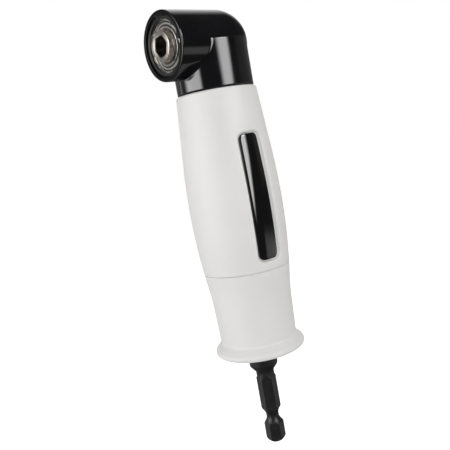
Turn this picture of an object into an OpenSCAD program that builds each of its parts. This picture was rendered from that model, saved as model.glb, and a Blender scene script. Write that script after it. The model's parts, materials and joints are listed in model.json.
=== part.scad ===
// Right angle drill attachment. A hexagonal shank turns a long shaft inside the
// handle, and a pair of bevel gears in the head carries the turn to a spindle
// with a hexagonal bit socket, at a right angle to the shank.
// The origin is the centre of the shank's end face. +Z runs up the handle, the
// bit points along -Y, and the panel on the grip faces +X.

/* [Shank and shaft] */
// Width across the flats of the drive shank
shank_af = 6.35; // [5:0.05:8]
// Length of the hexagonal part of the shank
shank_length = 25.4; // [22:0.1:32]
// Height of the chamfer at the shank's end
shank_chamfer = 1.3; // [0.5:0.1:2]
// Turn of the shank's hexagon about its axis
shank_turn = -9; // [-30:1:30]
// Distance from the end face to the middle of the ball groove
groove_distance = 10; // [8:0.1:14]
// Width of the ball groove along the shank
groove_width = 6; // [3:0.1:7]
// Diameter at the bottom of the ball groove
groove_d = 4.6; // [3.5:0.1:5.5]
// Diameter of the round neck above the hexagon
shank_neck_d = 6.6; // [5:0.1:8]
// Length of the round neck above the hexagon
shank_neck_length = 2.1; // [1:0.1:4]
// Length of the cone between the neck and the shaft's collar
cone_length = 2.35; // [1:0.05:6]
// Diameter of the shaft's collar
collar_d = 10.4; // [9:0.1:11]
// Diameter of the shaft in its bearings
shaft_d = 8; // [7:0.1:8.6]

/* [Handle] */
// How far the shank stands out below the end guard
shaft_reach = 36.4; // [34:0.1:44]
// Height of the end guard, up to the seam
guard_height = 30.5; // [28:0.1:38]
// Height of the grip, from the seam to the head
grip_height = 62.7; // [60:0.1:80]
// Largest diameter of the handle
belly_d = 33.3; // [31:0.1:38]
// Height of the largest diameter above the seam
belly_height = 21; // [15:0.5:26]
// Radius of the handle's outline above its largest diameter
upper_arc_r = 230; // [200:5:400]
// Radius of the handle's outline below its largest diameter
lower_arc_r = 200; // [180:5:400]
// Slope of the handle towards the head
upper_taper = 4.5; // [2:0.1:5]
// Slope where the belly ends and the waist begins
lower_taper = 7.4; // [5:0.1:8]
// Radius of the hollow between the belly and the waist
waist_arc_r = 90; // [60:5:140]
// Slope of the waist
waist_taper = 2; // [0:0.1:3]
// How far the flange at the handle's lower end stands out of the waist
flange_reach = 2.5; // [2:0.05:4]
// Height of the flange
flange_height = 4.95; // [4:0.05:9]
// Rounding of the grip's upper edge
grip_edge_r = 0.7; // [0.3:0.1:1]
// Chamfer on both sides of the seam
seam_chamfer = 0.3; // [0.1:0.05:0.6]
// Thickness of the guard's floor under the tail bearing
guard_floor = 4.6; // [4:0.1:7]
// Thickness of the grip around its tube, where the handle is widest
grip_wall = 4.65; // [4:0.05:5]

/* [Panel] */
// Length of the panel set into the grip
panel_length = 43; // [30:1:50]
// Width of the panel
panel_width = 8.2; // [5:0.1:10]
// Corner radius of the panel
panel_corner_r = 2.2; // [1:0.1:2.4]
// Distance from the seam to the middle of the panel
panel_rise = 25.3; // [24:0.1:36]
// Turn of the panel about the handle's axis
panel_turn = -6.5; // [-20:0.5:20]
// Thickness of the panel
panel_thickness = 0.9; // [0.6:0.1:1.2]
// How far the panel lies below the grip's surface
panel_recess = 0.4; // [0.2:0.1:0.8]

/* [Head] */
// Height of the head's neck, from the grip to the output axis
neck_height = 16.2; // [16:0.1:20]
// Diameter of the neck
neck_d = 26.7; // [25.6:0.1:28]
// Drop of the neck's shoulder below the output axis
shoulder_drop = 1.1; // [0:0.1:3]
// Chamfer at the foot of the neck
neck_chamfer = 0.6; // [0.2:0.1:1]
// Diameter of the barrel
barrel_d = 22.8; // [22:0.1:25]
// Distance from the handle's axis to the barrel's rim
barrel_reach = 18.7; // [17.5:0.1:22]
// Distance from the handle's axis back to the centre of the rounded rear
dome_offset = 2.9; // [1:0.1:5]
// Length of the spigot that holds the head in the tube
spigot_length = 18; // [12:0.5:24]

/* [Output] */
// Width across the flats of the bit socket
socket_af = 6.45; // [6.4:0.05:6.6]
// Depth of the bit socket
socket_depth = 13; // [9:0.5:13]
// Turn of the socket's hexagon about its axis
socket_turn = 9.5; // [-30:0.5:30]
// Diameter of the spindle's nose
nose_d = 10; // [9.6:0.1:10.4]
// How far the nose stands out of the barrel's rim
nose_reach = 0.9; // [0.5:0.1:4]
// Diameter of the spindle under the gear
gear_seat_d = 9.2; // [8.8:0.1:9.4]
// Diameter of the spindle's rear journal
journal_d = 7; // [6:0.1:7.4]

/* [Gears] */
// Number of teeth of the pinion
pinion_teeth = 12; // [12:1:12]
// Number of teeth of the output gear
gear_teeth = 19; // [19:1:19]
// Size of the teeth at their large end
tooth_module = 0.85; // [0.8:0.01:0.86]
// Width of the teeth along the pitch cone
face_width = 3; // [2:0.1:3.2]
// Play between the teeth at the pitch circle
backlash = 0.12; // [0.08:0.01:0.2]

/* [Bearings] */
// Thickness of the barrel's wall around the front bearing
barrel_wall = 1.9; // [1.4:0.05:2]
// Width of the front bearing
front_width = 5; // [4.6:0.1:5.4]
// Thickness of the spigot's wall around the neck bearing
spigot_wall = 1.5; // [1.2:0.05:2]
// Width of the neck bearing
neck_width = 6; // [5:0.1:7]
// Width of the tail bearing
tail_width = 7; // [6:0.1:8]

/* [Hidden] */
$fn = 72;

// Fits and cuts
running_fit = 0.05;
clear_gap = 0.3;
overrun = 1;

// Heights along the handle's axis
guard_z = shaft_reach;
seam_z = guard_z + guard_height;
collar_z = seam_z + grip_height;
axis_z = collar_z + neck_height;
belly_z = seam_z + belly_height;
tail_z = guard_z + guard_floor;

// Radii of the main pieces
belly_r = belly_d/2;
neck_r = neck_d/2;
barrel_r = barrel_d/2;
nose_r = nose_d/2;
shaft_r = shaft_d/2;
collar_r = collar_d/2;
shank_r = shank_af/2/cos(30);
tube_r = belly_r - grip_wall;
tube_wall = 1;
tube_bore_r = tube_r - tube_wall;

// Flange
flange_slope = 44;
flange_fillet_r = 1.3;
flange_run = 2.4;
flange_lower_r = 1.15;
flange_lower_angle = 80;
arc_steps = 7;
edge_steps = 5;

// Seal and recess under the guard
seal_r = 8;
seal_thickness = 3;
seal_inset = 1;
seal_lip_r = 6.6;
seal_lip_depth = 1.2;
underside_r = tube_r;
underside_depth = 0.8;

// Bevel gears: pitch radii, cone angles and cone distance
pressure_angle = 20;
addendum_share = 1;
dedendum_share = 1.25;
flank_steps = 4;
gap_overrun_share = 0.15;
pinion_pitch_r = tooth_module*pinion_teeth/2;
gear_pitch_r = tooth_module*gear_teeth/2;
pinion_cone = atan(pinion_teeth/gear_teeth);
gear_cone = 90 - pinion_cone;
cone_distance = norm([pinion_pitch_r, gear_pitch_r]);
gear_tip_r = gear_pitch_r + tooth_module*cos(gear_cone);
small_end_share = 1 - face_width/cone_distance;
pinion_top = gear_pitch_r*small_end_share;

// Places along the output axis, measured forward from the handle's axis
nose_face = barrel_reach + nose_reach;
circlip_thickness = 0.8;
circlip_inset = 0.7;
front_face = barrel_reach - circlip_inset - circlip_thickness;
front_back = front_face - front_width;
socket_floor = nose_face - socket_depth;
magnet_r = 2.7;
magnet_thickness = 2.5;
spindle_step = -3.9;
washer_thickness = 0.6;
bush_front = spindle_step - washer_thickness;
bush_length = 5;
bush_wall = 2;
journal_r = journal_d/2;
gear_seat_r = gear_seat_d/2;
gear_hub_r = 6;
gear_plate_r = 7.2;
gear_plate = 1.2;
key_width = 1.6;
key_length = 3.6;
key_depth = 0.6;
key_height = 1.4;

// Places along the handle's axis, measured down from the output axis
neck_bearing_top = 11.6;
neck_bearing_foot = neck_bearing_top + neck_width;
pinion_hub_r = 3.9;
pinion_plate = 0.6;
stub_r = 2;
stub_top = pinion_top + 0.8*tooth_module;
pin_r = 0.8;
pin_drop = 10.2;
hub_shoulder = 2.1;
hub_hole_r = tube_bore_r - spigot_wall - hub_shoulder;
spigot_pin_r = 1.25;
spigot_pin_rise = 7;

// Head
cavity_clearance = 0.37;
cavity_r = gear_tip_r + cavity_clearance;
rim_edge = 0.2;
rim_mouth = 0.45;
rim_flat = 0.75;
rim_mouth_r = barrel_r - rim_edge - rim_flat;
groove_depth = 0.5;

// Bearings: bore radius, outer radius, width, ball radius, balls. A ball takes a
// share of the smaller side of the section between bore and outer radius.
function bearing(bore, outer, width, share, balls) =
    [bore, outer, width, share*min(outer - bore, width)/2, balls];
front_ball_share = 0.529;
neck_ball_share = 0.577;
tail_ball_share = 0.567;
front_bearing = bearing(nose_r, barrel_r - barrel_wall, front_width, front_ball_share, 12);
neck_bearing = bearing(shaft_r, tube_bore_r - spigot_wall, neck_width, neck_ball_share, 8);
tail_bearing = bearing(shaft_r, tube_bore_r, tail_width, tail_ball_share, 7);
land_share = 0.88;
ring_chamfer = 0.25;
shield_thickness = 0.25;
shield_inset = 0.2;
shield_seat = 0.35;
cage_half = 0.45;
cage_gap = 0.6;

// Circlips: width of the ring, and the lugs' radius as a share of the section
// between bore and shaft
circlip_width = 1.1;
lug_share = 0.22;
lug_hole_share = 0.4;
circlip_gap = 34;

// Wave washer
wave_thickness = 0.35;
wave_height = 0.8;
wave_width = 1.5;
wave_count = 3;
wave_steps = 42;
tail_clip_z = tail_z + tail_width + wave_height;

// Colours
gloss_black = [0.03, 0.03, 0.035];
grip_grey = [0.82, 0.82, 0.81];
bright_steel = [0.72, 0.72, 0.74];
dark_steel = [0.11, 0.11, 0.12];

// Outline of the handle. A heading is the angle between the outline's way down
// and the axis, positive where the outline draws in.
function lerp(a, b, t) = a + (b - a)*t;
function arc_down(start, radius, from, to, steps) =
    let(way = to > from ? 1 : -1)
    [for (i = [0:steps]) let(h = lerp(from, to, i/steps)) [
        start[0] + way*radius*(cos(h) - cos(from)),
        start[1] - way*radius*(sin(h) - sin(from))
    ]];
function last(points) = points[len(points) - 1];
function run_to(start, slope, z) = [start[0] - (start[1] - z)*tan(slope), z];

upper_arc = arc_down([belly_r, belly_z], upper_arc_r, 0, -upper_taper, arc_steps);
upper_points = [for (p = upper_arc) [p[0] - 2*(p[0] - belly_r), 2*belly_z - p[1]]];
collar_point = [
    last(upper_points)[0] - (collar_z - last(upper_points)[1])*tan(upper_taper),
    collar_z
];
lower_arc = arc_down([belly_r, belly_z], lower_arc_r, 0, lower_taper, arc_steps);
waist_arc = arc_down(last(lower_arc), waist_arc_r, lower_taper, waist_taper, arc_steps);
flange_top = guard_z + flange_height;
waist_end = run_to(last(waist_arc), waist_taper, flange_top);
flange_r = waist_end[0] + flange_reach;
flange_fillet = arc_down(waist_end, flange_fillet_r, waist_taper, -flange_slope, edge_steps);
slope_end = last(flange_fillet) + flange_run*[sin(flange_slope), -cos(flange_slope)];
flange_upper_r = (flange_r - slope_end[0])/(1 - cos(flange_slope));
flange_upper = arc_down(slope_end, flange_upper_r, -flange_slope, 0, edge_steps);
flange_lower = arc_down(last(flange_upper), flange_lower_r, 0, flange_lower_angle, edge_steps);

// The outline from the head down to the waist, and the radius at any height
body_points = concat(
    [collar_point],
    [for (i = [len(upper_points) - 1:-1:1]) upper_points[i]],
    lower_arc,
    [for (i = [1:len(waist_arc) - 1]) waist_arc[i]],
    [waist_end]
);
radius_table = [for (i = [len(body_points) - 1:-1:0]) [body_points[i][1], body_points[i][0]]];
function handle_r(z) = lookup(z, radius_table);

// Moves to the output axis: local z runs forward and local y runs up
module on_output() {
    translate([0, 0, axis_z]) rotate([90, 0, 0]) children();
}

module ring(outer, inner, from, height) {
    translate([0, 0, from]) difference() {
        cylinder(r = outer, h = height);
        translate([0, 0, -overrun]) cylinder(r = inner, h = height + 2*overrun);
    }
}

module hexagon(across_flats, turn, height) {
    rotate([0, 0, turn]) cylinder(r = across_flats/2/cos(30), h = height, $fn = 6);
}

// Ball bearing pieces, standing on z = 0
function pitch_r(b) = (b[0] + b[1])/2;
function inner_land_r(b) = pitch_r(b) - land_share*b[3];
function outer_land_r(b) = pitch_r(b) + land_share*b[3];

module raceway(b) {
    translate([0, 0, b[2]/2]) rotate_extrude()
        translate([pitch_r(b), 0]) circle(r = b[3] + running_fit);
}

module bearing_inner(b) {
    top = b[2];
    c = ring_chamfer;
    difference() {
        rotate_extrude() polygon([
            [b[0] + c, 0], [inner_land_r(b), 0], [inner_land_r(b), top],
            [b[0] + c, top], [b[0], top - c], [b[0], c]
        ]);
        raceway(b);
    }
}

module bearing_outer(b) {
    top = b[2];
    c = ring_chamfer;
    seat = shield_inset + shield_thickness;
    land = outer_land_r(b);
    difference() {
        rotate_extrude() polygon([
            [land + shield_seat, 0], [b[1] - c, 0], [b[1], c], [b[1], top - c],
            [b[1] - c, top], [land + shield_seat, top],
            [land + shield_seat, top - seat], [land, top - seat],
            [land, seat], [land + shield_seat, seat]
        ]);
        raceway(b);
    }
}

module bearing_shields(b) {
    inner = inner_land_r(b) + clear_gap;
    outer = outer_land_r(b) + shield_seat;
    ring(outer, inner, shield_inset, shield_thickness);
    ring(outer, inner, b[2] - shield_inset - shield_thickness, shield_thickness);
}

module bearing_balls(b) {
    for (i = [0:b[4] - 1]) rotate([0, 0, i*360/b[4]])
        translate([pitch_r(b), 0, b[2]/2]) sphere(r = b[3]);
}

module bearing_cage(b) {
    height = b[2] - 2*(shield_inset + shield_thickness + cage_gap);
    difference() {
        ring(pitch_r(b) + cage_half, pitch_r(b) - cage_half, (b[2] - height)/2, height);
        for (i = [0:b[4] - 1]) rotate([0, 0, i*360/b[4]])
            translate([pitch_r(b) - cage_half - overrun, 0, b[2]/2]) rotate([0, 90, 0])
            cylinder(r = b[3] + running_fit, h = 2*(cage_half + overrun));
    }
}

// Snap rings with two lugs beside the gap, which lies along -X
module inside_circlip(b) {
    groove_r = b[1] + groove_depth;
    thickness = circlip_thickness;
    inner = groove_r - circlip_width;
    lug_r = lug_share*(b[1] - b[0]);
    lug_at = b[1] - lug_r - running_fit;
    difference() {
        union() {
            difference() {
                cylinder(r = groove_r, h = thickness);
                translate([0, 0, -overrun]) cylinder(r = inner, h = thickness + 2*overrun);
                gap_wedge(groove_r + overrun, thickness);
            }
            lugs(lug_at, thickness, lug_r);
        }
        translate([0, 0, -overrun]) lugs(lug_at, thickness + 2*overrun, lug_hole_share*lug_r);
    }
}

module outside_circlip(b) {
    groove_r = b[0] - groove_depth;
    thickness = circlip_thickness;
    outer = groove_r + circlip_width;
    lug_r = lug_share*(b[1] - b[0]);
    lug_at = groove_r + lug_r + running_fit;
    difference() {
        union() {
            difference() {
                cylinder(r = outer, h = thickness);
                gap_wedge(outer + overrun, thickness);
            }
            lugs(lug_at, thickness, lug_r);
        }
        translate([0, 0, -overrun]) cylinder(r = groove_r, h = thickness + 2*overrun);
        translate([0, 0, -overrun]) lugs(lug_at, thickness + 2*overrun, lug_hole_share*lug_r);
    }
}

module gap_wedge(reach, thickness) {
    half = circlip_gap/2;
    translate([0, 0, -overrun]) linear_extrude(height = thickness + 2*overrun)
        polygon([[0, 0], [-reach*cos(half), reach*sin(half)], [-reach*cos(half), -reach*sin(half)]]);
}

module lugs(lug_at, height, radius) {
    for (side = [-1, 1]) rotate([0, 0, 180 + side*circlip_gap/2])
        translate([lug_at, 0, 0]) cylinder(r = radius, h = height);
}

// Bevel gear blank with the cones' common tip at the origin and the gear up +Z.
// Between its teeth it is cut by tapered gaps, with involute sides that are laid
// out on the back cone, rolled out flat, and wrapped round again.
function involute(a) = tan(a)*180/PI - a;
function back_r(cone, pitch) = pitch/cos(cone);
function root_of(cone, pitch) = back_r(cone, pitch) - dedendum_share*tooth_module;
function tip_of(cone, pitch) = back_r(cone, pitch) + addendum_share*tooth_module;
function base_of(cone, pitch) = back_r(cone, pitch)*cos(pressure_angle);
function across(r, cone) = r*cos(cone);
function along(r, cone, pitch) = pitch/tan(cone) + pitch*tan(cone) - r*sin(cone);

function half_tooth(r, teeth, cone, pitch) =
    let(
        base = base_of(cone, pitch),
        a = r > base ? acos(base/r) : 0,
        play = backlash/4/back_r(cone, pitch)*180/PI
    )
    90*cos(cone)/teeth - play + involute(pressure_angle) - involute(a);

// Radius and half angle of a gap, from its root out past the teeth's tips
function gap_side(teeth, cone, pitch) =
    let(
        root = root_of(cone, pitch),
        low = max(root, base_of(cone, pitch)),
        tip = tip_of(cone, pitch),
        radii = concat(
            root < low ? [root] : [],
            [for (i = [0:flank_steps + 1]) lerp(low, tip, i/flank_steps)]
        )
    )
    [for (r = radii) [r, (180*cos(cone)/teeth - half_tooth(r, teeth, cone, pitch))/cos(cone)]];

function gap_point(r, angle, cone, pitch, share) =
    share*[across(r, cone)*cos(angle), across(r, cone)*sin(angle), along(r, cone, pitch)];

module tooth_gap(teeth, cone, pitch) {
    side = gap_side(teeth, cone, pitch);
    n = 2*len(side);
    middle = back_r(cone, pitch);
    shares = [1 + gap_overrun_share, small_end_share - gap_overrun_share];
    rings = [for (share = shares) each concat(
        [for (p = side) gap_point(p[0], -p[1], cone, pitch, share)],
        [for (i = [len(side) - 1:-1:0]) gap_point(side[i][0], side[i][1], cone, pitch, share)]
    )];
    polyhedron(
        points = concat(rings, [for (share = shares) gap_point(middle, 0, cone, pitch, share)]),
        faces = concat(
            [for (i = [0:n - 1]) [i, (i + 1)%n, n + i]],
            [for (i = [0:n - 1]) [(i + 1)%n, n + (i + 1)%n, n + i]],
            [for (i = [0:n - 1]) [2*n, (i + 1)%n, i]],
            [for (i = [0:n - 1]) [2*n + 1, n + i, n + (i + 1)%n]]
        )
    );
}

// The blank runs from its bore out over the back plate and hub to the teeth
module bevel_gear(teeth, cone, pitch, phase, bore, plate_r, plate_back, hub_r, hub_back) {
    root = root_of(cone, pitch);
    tip = tip_of(cone, pitch);
    back = along(root, cone, pitch);
    small = small_end_share;
    difference() {
        rotate_extrude() polygon([
            [bore, small*along(root, cone, pitch)],
            small*[across(root, cone), along(root, cone, pitch)],
            small*[across(tip, cone), along(tip, cone, pitch)],
            [across(tip, cone), along(tip, cone, pitch)],
            [across(root, cone), back], [plate_r, back], [plate_r, plate_back],
            [hub_r, plate_back], [hub_r, hub_back], [bore, hub_back]
        ]);
        for (t = [0:teeth - 1]) rotate([0, 0, phase + (t + 0.5)*360/teeth])
            tooth_gap(teeth, cone, pitch);
    }
}

// Head
module head_shell() {
    on_output() {
        translate([0, 0, -dome_offset]) sphere(r = barrel_r);
        translate([0, 0, -dome_offset])
            cylinder(r = barrel_r, h = barrel_reach + dome_offset - rim_edge);
        translate([0, 0, barrel_reach - rim_edge])
            cylinder(r1 = barrel_r, r2 = barrel_r - rim_edge, h = rim_edge);
    }
    rotate_extrude() polygon([
        [0, collar_z - spigot_length], [tube_bore_r, collar_z - spigot_length],
        [tube_bore_r, collar_z], [neck_r - neck_chamfer, collar_z],
        [neck_r, collar_z + neck_chamfer],
        [neck_r, axis_z - shoulder_drop - rim_edge],
        [neck_r - rim_edge, axis_z - shoulder_drop], [0, axis_z - shoulder_drop]
    ]);
}

module head_bores() {
    on_output() {
        translate([0, 0, front_back])
            cylinder(r = front_bearing[1], h = barrel_reach - front_back + overrun);
        translate([0, 0, front_face])
            cylinder(r = front_bearing[1] + groove_depth, h = circlip_thickness);
        translate([0, 0, barrel_reach - rim_mouth])
            cylinder(r1 = front_bearing[1], r2 = rim_mouth_r, h = rim_mouth);
        translate([0, 0, bush_front])
            cylinder(r = cavity_r, h = front_back - bush_front + overrun);
        translate([0, 0, bush_front - bush_length])
            cylinder(r = journal_r + bush_wall, h = bush_length + overrun);
    }
    foot = collar_z - spigot_length - overrun;
    cylinder_between(neck_bearing[1], foot, axis_z - neck_bearing_top);
    cylinder_between(
        neck_bearing[1] + groove_depth,
        axis_z - neck_bearing_foot - circlip_thickness,
        axis_z - neck_bearing_foot
    );
    cylinder_between(hub_hole_r, axis_z - neck_bearing_top - overrun, axis_z);
}

module cylinder_between(radius, from, to) {
    translate([0, 0, from]) cylinder(r = radius, h = to - from);
}

module head_housing() {
    color(gloss_black) difference() {
        head_shell();
        head_bores();
        spigot_pin_shapes(tube_bore_r + overrun);
    }
}

module front_circlip() {
    color(gloss_black) on_output() translate([0, 0, front_face])
        rotate([0, 0, 180]) inside_circlip(front_bearing);
}

module front_bearing_outer() {
    color(bright_steel) on_output() translate([0, 0, front_back]) bearing_outer(front_bearing);
}

module front_bearing_shields() {
    color(bright_steel) on_output() translate([0, 0, front_back]) bearing_shields(front_bearing);
}

module rear_bush() {
    color("peru") on_output()
        ring(journal_r + bush_wall, journal_r + running_fit, bush_front - bush_length, bush_length);
}

module thrust_washer() {
    color("tan") on_output()
        ring(gear_seat_r + running_fit, journal_r + running_fit, bush_front, washer_thickness);
}

module neck_bearing_outer() {
    color(bright_steel) translate([0, 0, axis_z - neck_bearing_foot]) bearing_outer(neck_bearing);
}

module neck_bearing_shields() {
    color(bright_steel) translate([0, 0, axis_z - neck_bearing_foot]) bearing_shields(neck_bearing);
}

module neck_circlip() {
    color(dark_steel)
        translate([0, 0, axis_z - neck_bearing_foot - circlip_thickness])
        inside_circlip(neck_bearing);
}

// Handle
module spigot_pin_shapes(reach) {
    for (side = [0, 180]) rotate([0, 0, side])
        translate([0, neck_bearing[1], collar_z - spigot_length + spigot_pin_rise])
        rotate([-90, 0, 0]) cylinder(r = spigot_pin_r, h = reach - neck_bearing[1]);
}

module spigot_pins() {
    color(bright_steel) intersection() {
        spigot_pin_shapes(tube_r + overrun);
        ring(tube_r, neck_bearing[1], collar_z - spigot_length, spigot_length);
    }
}

module handle_tube() {
    color("lightsteelblue") difference() {
        ring(tube_r, tube_bore_r, tail_z, collar_z - tail_z);
        cylinder_between(tube_bore_r + groove_depth, tail_clip_z, tail_clip_z + circlip_thickness);
        spigot_pin_shapes(tube_r + overrun);
    }
}

module grip_blank() {
    seam_r = handle_r(seam_z);
    edge_z = collar_z - grip_edge_r;
    edge_r = handle_r(edge_z);
    rotate_extrude() polygon(concat(
        [[tube_r, collar_z], [tube_r, seam_z], [seam_r - seam_chamfer, seam_z]],
        [[handle_r(seam_z + seam_chamfer), seam_z + seam_chamfer]],
        [for (i = [len(body_points) - 1:-1:0])
            if (body_points[i][1] > seam_z + seam_chamfer && body_points[i][1] < edge_z)
                body_points[i]],
        [for (i = [0:edge_steps]) [
            edge_r - grip_edge_r*(1 - cos(90*i/edge_steps)),
            edge_z + grip_edge_r*sin(90*i/edge_steps)
        ]]
    ));
}

// A bar with a rounded outline that crosses the grip's wall at the panel
module panel_bar(margin) {
    wide = panel_width + 2*margin;
    long = panel_length + 2*margin;
    corner = panel_corner_r + margin;
    rotate([0, 0, panel_turn])
        translate([0, 0, seam_z + panel_rise]) rotate([90, 0, 90])
        linear_extrude(height = belly_r + overrun) {
            square([wide, long - 2*corner], center = true);
            square([wide - 2*corner, long], center = true);
            for (x = [-1, 1]) for (y = [-1, 1])
                translate([x*(wide/2 - corner), y*(long/2 - corner)]) circle(r = corner);
        }
}

// The inside of the handle's outline, drawn in by a depth
module handle_core(depth) {
    rotate_extrude() polygon(concat(
        [[0, collar_z], [0, guard_z]],
        [for (i = [len(body_points) - 1:-1:0]) body_points[i] - [depth, 0]]
    ));
}

module grip_sleeve() {
    color(grip_grey) difference() {
        grip_blank();
        difference() {
            panel_bar(running_fit);
            handle_core(panel_recess + panel_thickness);
        }
    }
}

module panel_inlay() {
    color("black") difference() {
        intersection() {
            panel_bar(0);
            handle_core(panel_recess);
        }
        handle_core(panel_recess + panel_thickness);
    }
}

module end_guard() {
    seam_r = handle_r(seam_z);
    color(grip_grey) rotate_extrude() polygon(concat(
        [[tube_r, tail_z], [tube_r, seam_z], [seam_r - seam_chamfer, seam_z]],
        [[handle_r(seam_z - seam_chamfer), seam_z - seam_chamfer]],
        [for (p = body_points) if (p[1] < seam_z - seam_chamfer && p[1] > flange_top) p],
        flange_fillet,
        flange_upper,
        [for (i = [1:edge_steps]) flange_lower[i]],
        [[last(flange_lower)[0] - flange_lower_r/2, guard_z],
         [underside_r, guard_z], [underside_r, guard_z + underside_depth],
         [seal_r, guard_z + underside_depth], [seal_r, tail_z]]
    ));
}

module tail_bearing_outer() {
    color(bright_steel) translate([0, 0, tail_z]) bearing_outer(tail_bearing);
}

module tail_bearing_shields() {
    color(bright_steel) translate([0, 0, tail_z]) bearing_shields(tail_bearing);
}

module tail_circlip() {
    color(dark_steel) translate([0, 0, tail_clip_z])
        inside_circlip(tail_bearing);
}

module wave_washer() {
    outer = tube_bore_r - clear_gap;
    inner = outer - wave_width;
    swing = (wave_height - wave_thickness)/2 - running_fit/2;
    middle = tail_z + tail_width + wave_height/2;
    points = [for (i = [0:wave_steps - 1]) let(
            a = i*360/wave_steps,
            z = middle + swing*sin(wave_count*a),
            h = wave_thickness/2
        )
        for (c = [[inner, z - h], [outer, z - h], [outer, z + h], [inner, z + h]])
            [c[0]*cos(a), c[0]*sin(a), c[1]]
    ];
    n = wave_steps;
    color("gainsboro") polyhedron(points = points, faces = [
        for (i = [0:n - 1]) for (k = [0:3]) let(
            a = 4*i + k,
            b = 4*i + (k + 1)%4,
            c = 4*((i + 1)%n) + (k + 1)%4,
            d = 4*((i + 1)%n) + k
        )
        each [[a, b, c], [a, c, d]]
    ]);
}

module tail_seal() {
    foot = guard_z + seal_inset;
    top = foot + seal_thickness;
    lip = collar_r + running_fit;
    color("dimgray") rotate_extrude() polygon([
        [lip, foot + seal_lip_depth], [seal_lip_r, foot], [seal_r, foot],
        [seal_r, top], [seal_lip_r, top], [lip, top - seal_lip_depth]
    ]);
}

// Input shaft
module shank() {
    neck_z = shank_length;
    reach = shank_r + running_fit;
    groove_r = groove_d/2;
    groove_h = shank_r - groove_r;
    groove_arc_r = (pow(groove_width/2, 2) + pow(groove_h, 2))/2/groove_h;
    difference() {
        intersection() {
            hexagon(shank_af, shank_turn, shank_length);
            rotate_extrude() polygon([
                [0, 0], [reach - shank_chamfer, 0], [reach, shank_chamfer],
                [reach, neck_z - (reach - shank_neck_d/2)],
                [shank_neck_d/2, neck_z], [0, neck_z]
            ]);
        }
        translate([0, 0, groove_distance]) rotate_extrude()
            translate([groove_r + groove_arc_r, 0]) circle(r = groove_arc_r);
    }
}

module drive_shaft() {
    cone_z = shank_length + shank_neck_length;
    collar_foot = cone_z + cone_length;
    shaft_top = axis_z - neck_bearing_top;
    clip_z = axis_z - neck_bearing_foot - circlip_thickness;
    color(dark_steel) difference() {
        union() {
            shank();
            rotate_extrude() polygon([
                [0, shank_length - shank_chamfer], [groove_d/2, shank_length - shank_chamfer],
                [groove_d/2, shank_length], [shank_neck_d/2, shank_length],
                [shank_neck_d/2, cone_z],
                [collar_r, collar_foot], [collar_r, tail_z], [shaft_r, tail_z],
                [shaft_r, clip_z], [shaft_r - groove_depth, clip_z],
                [shaft_r - groove_depth, clip_z + circlip_thickness],
                [shaft_r, clip_z + circlip_thickness], [shaft_r, shaft_top],
                [stub_r, shaft_top], [stub_r, axis_z - stub_top], [0, axis_z - stub_top]
            ]);
        }
        pinion_pin_shape(stub_r + overrun);
    }
}

module pinion_pin_shape(reach) {
    translate([-reach, 0, axis_z - pin_drop]) rotate([0, 90, 0])
        cylinder(r = pin_r, h = 2*reach);
}

module input_pinion() {
    back = along(root_of(pinion_cone, pinion_pitch_r), pinion_cone, pinion_pitch_r);
    color("slategray") difference() {
        translate([0, 0, axis_z]) rotate([180, 0, 0]) bevel_gear(
            pinion_teeth, pinion_cone, pinion_pitch_r, 90, stub_r,
            pinion_hub_r, back + pinion_plate, pinion_hub_r, neck_bearing_top
        );
        pinion_pin_shape(pinion_hub_r + overrun);
    }
}

module pinion_pin() {
    color(bright_steel) intersection() {
        pinion_pin_shape(pinion_hub_r + overrun);
        cylinder_between(pinion_hub_r, axis_z - neck_bearing_top, axis_z);
    }
}

module shaft_circlip() {
    color(dark_steel)
        translate([0, 0, axis_z - neck_bearing_foot - circlip_thickness])
        outside_circlip(neck_bearing);
}

module neck_bearing_inner() {
    color(bright_steel) translate([0, 0, axis_z - neck_bearing_foot]) bearing_inner(neck_bearing);
}

module tail_bearing_inner() {
    color(bright_steel) translate([0, 0, tail_z]) bearing_inner(tail_bearing);
}

// Output spindle
module key_shape(margin) {
    key_start = front_back - clear_gap - key_length;
    rotate([0, 0, socket_turn + 30])
        translate([gear_seat_r - key_depth, -key_width/2, key_start])
        cube([key_height + margin, key_width, key_length]);
}

module output_spindle() {
    color("darkgray") on_output() difference() {
        rotate_extrude() polygon([
            [0, bush_front - bush_length + clear_gap],
            [journal_r - ring_chamfer, bush_front - bush_length + clear_gap],
            [journal_r, bush_front - bush_length + clear_gap + ring_chamfer],
            [journal_r, spindle_step], [gear_seat_r, spindle_step],
            [gear_seat_r, front_back], [nose_r, front_back],
            [nose_r, nose_face - ring_chamfer], [nose_r - ring_chamfer, nose_face],
            [0, nose_face]
        ]);
        translate([0, 0, socket_floor]) hexagon(socket_af, socket_turn, socket_depth + overrun);
        translate([0, 0, socket_floor - magnet_thickness])
            cylinder(r = magnet_r, h = magnet_thickness + overrun);
        key_shape(0);
    }
}

module socket_magnet() {
    color("silver") on_output() translate([0, 0, socket_floor - magnet_thickness])
        cylinder(r = magnet_r, h = magnet_thickness);
}

module output_gear() {
    back = along(root_of(gear_cone, gear_pitch_r), gear_cone, gear_pitch_r);
    color("slategray") on_output() difference() {
        bevel_gear(
            gear_teeth, gear_cone, gear_pitch_r, 180/gear_teeth - 90, gear_seat_r,
            gear_plate_r, back + gear_plate, gear_hub_r, front_back
        );
        key_shape(running_fit);
    }
}

module gear_key() {
    color("gray") on_output() key_shape(0);
}

module front_bearing_inner() {
    color(bright_steel) on_output() translate([0, 0, front_back]) bearing_inner(front_bearing);
}

// Rolling pieces
module front_bearing_balls() {
    color("white") on_output() translate([0, 0, front_back]) bearing_balls(front_bearing);
}

module front_bearing_cage() {
    color("goldenrod") on_output() translate([0, 0, front_back]) bearing_cage(front_bearing);
}

module neck_bearing_balls() {
    color("white") translate([0, 0, axis_z - neck_bearing_foot]) bearing_balls(neck_bearing);
}

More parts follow.
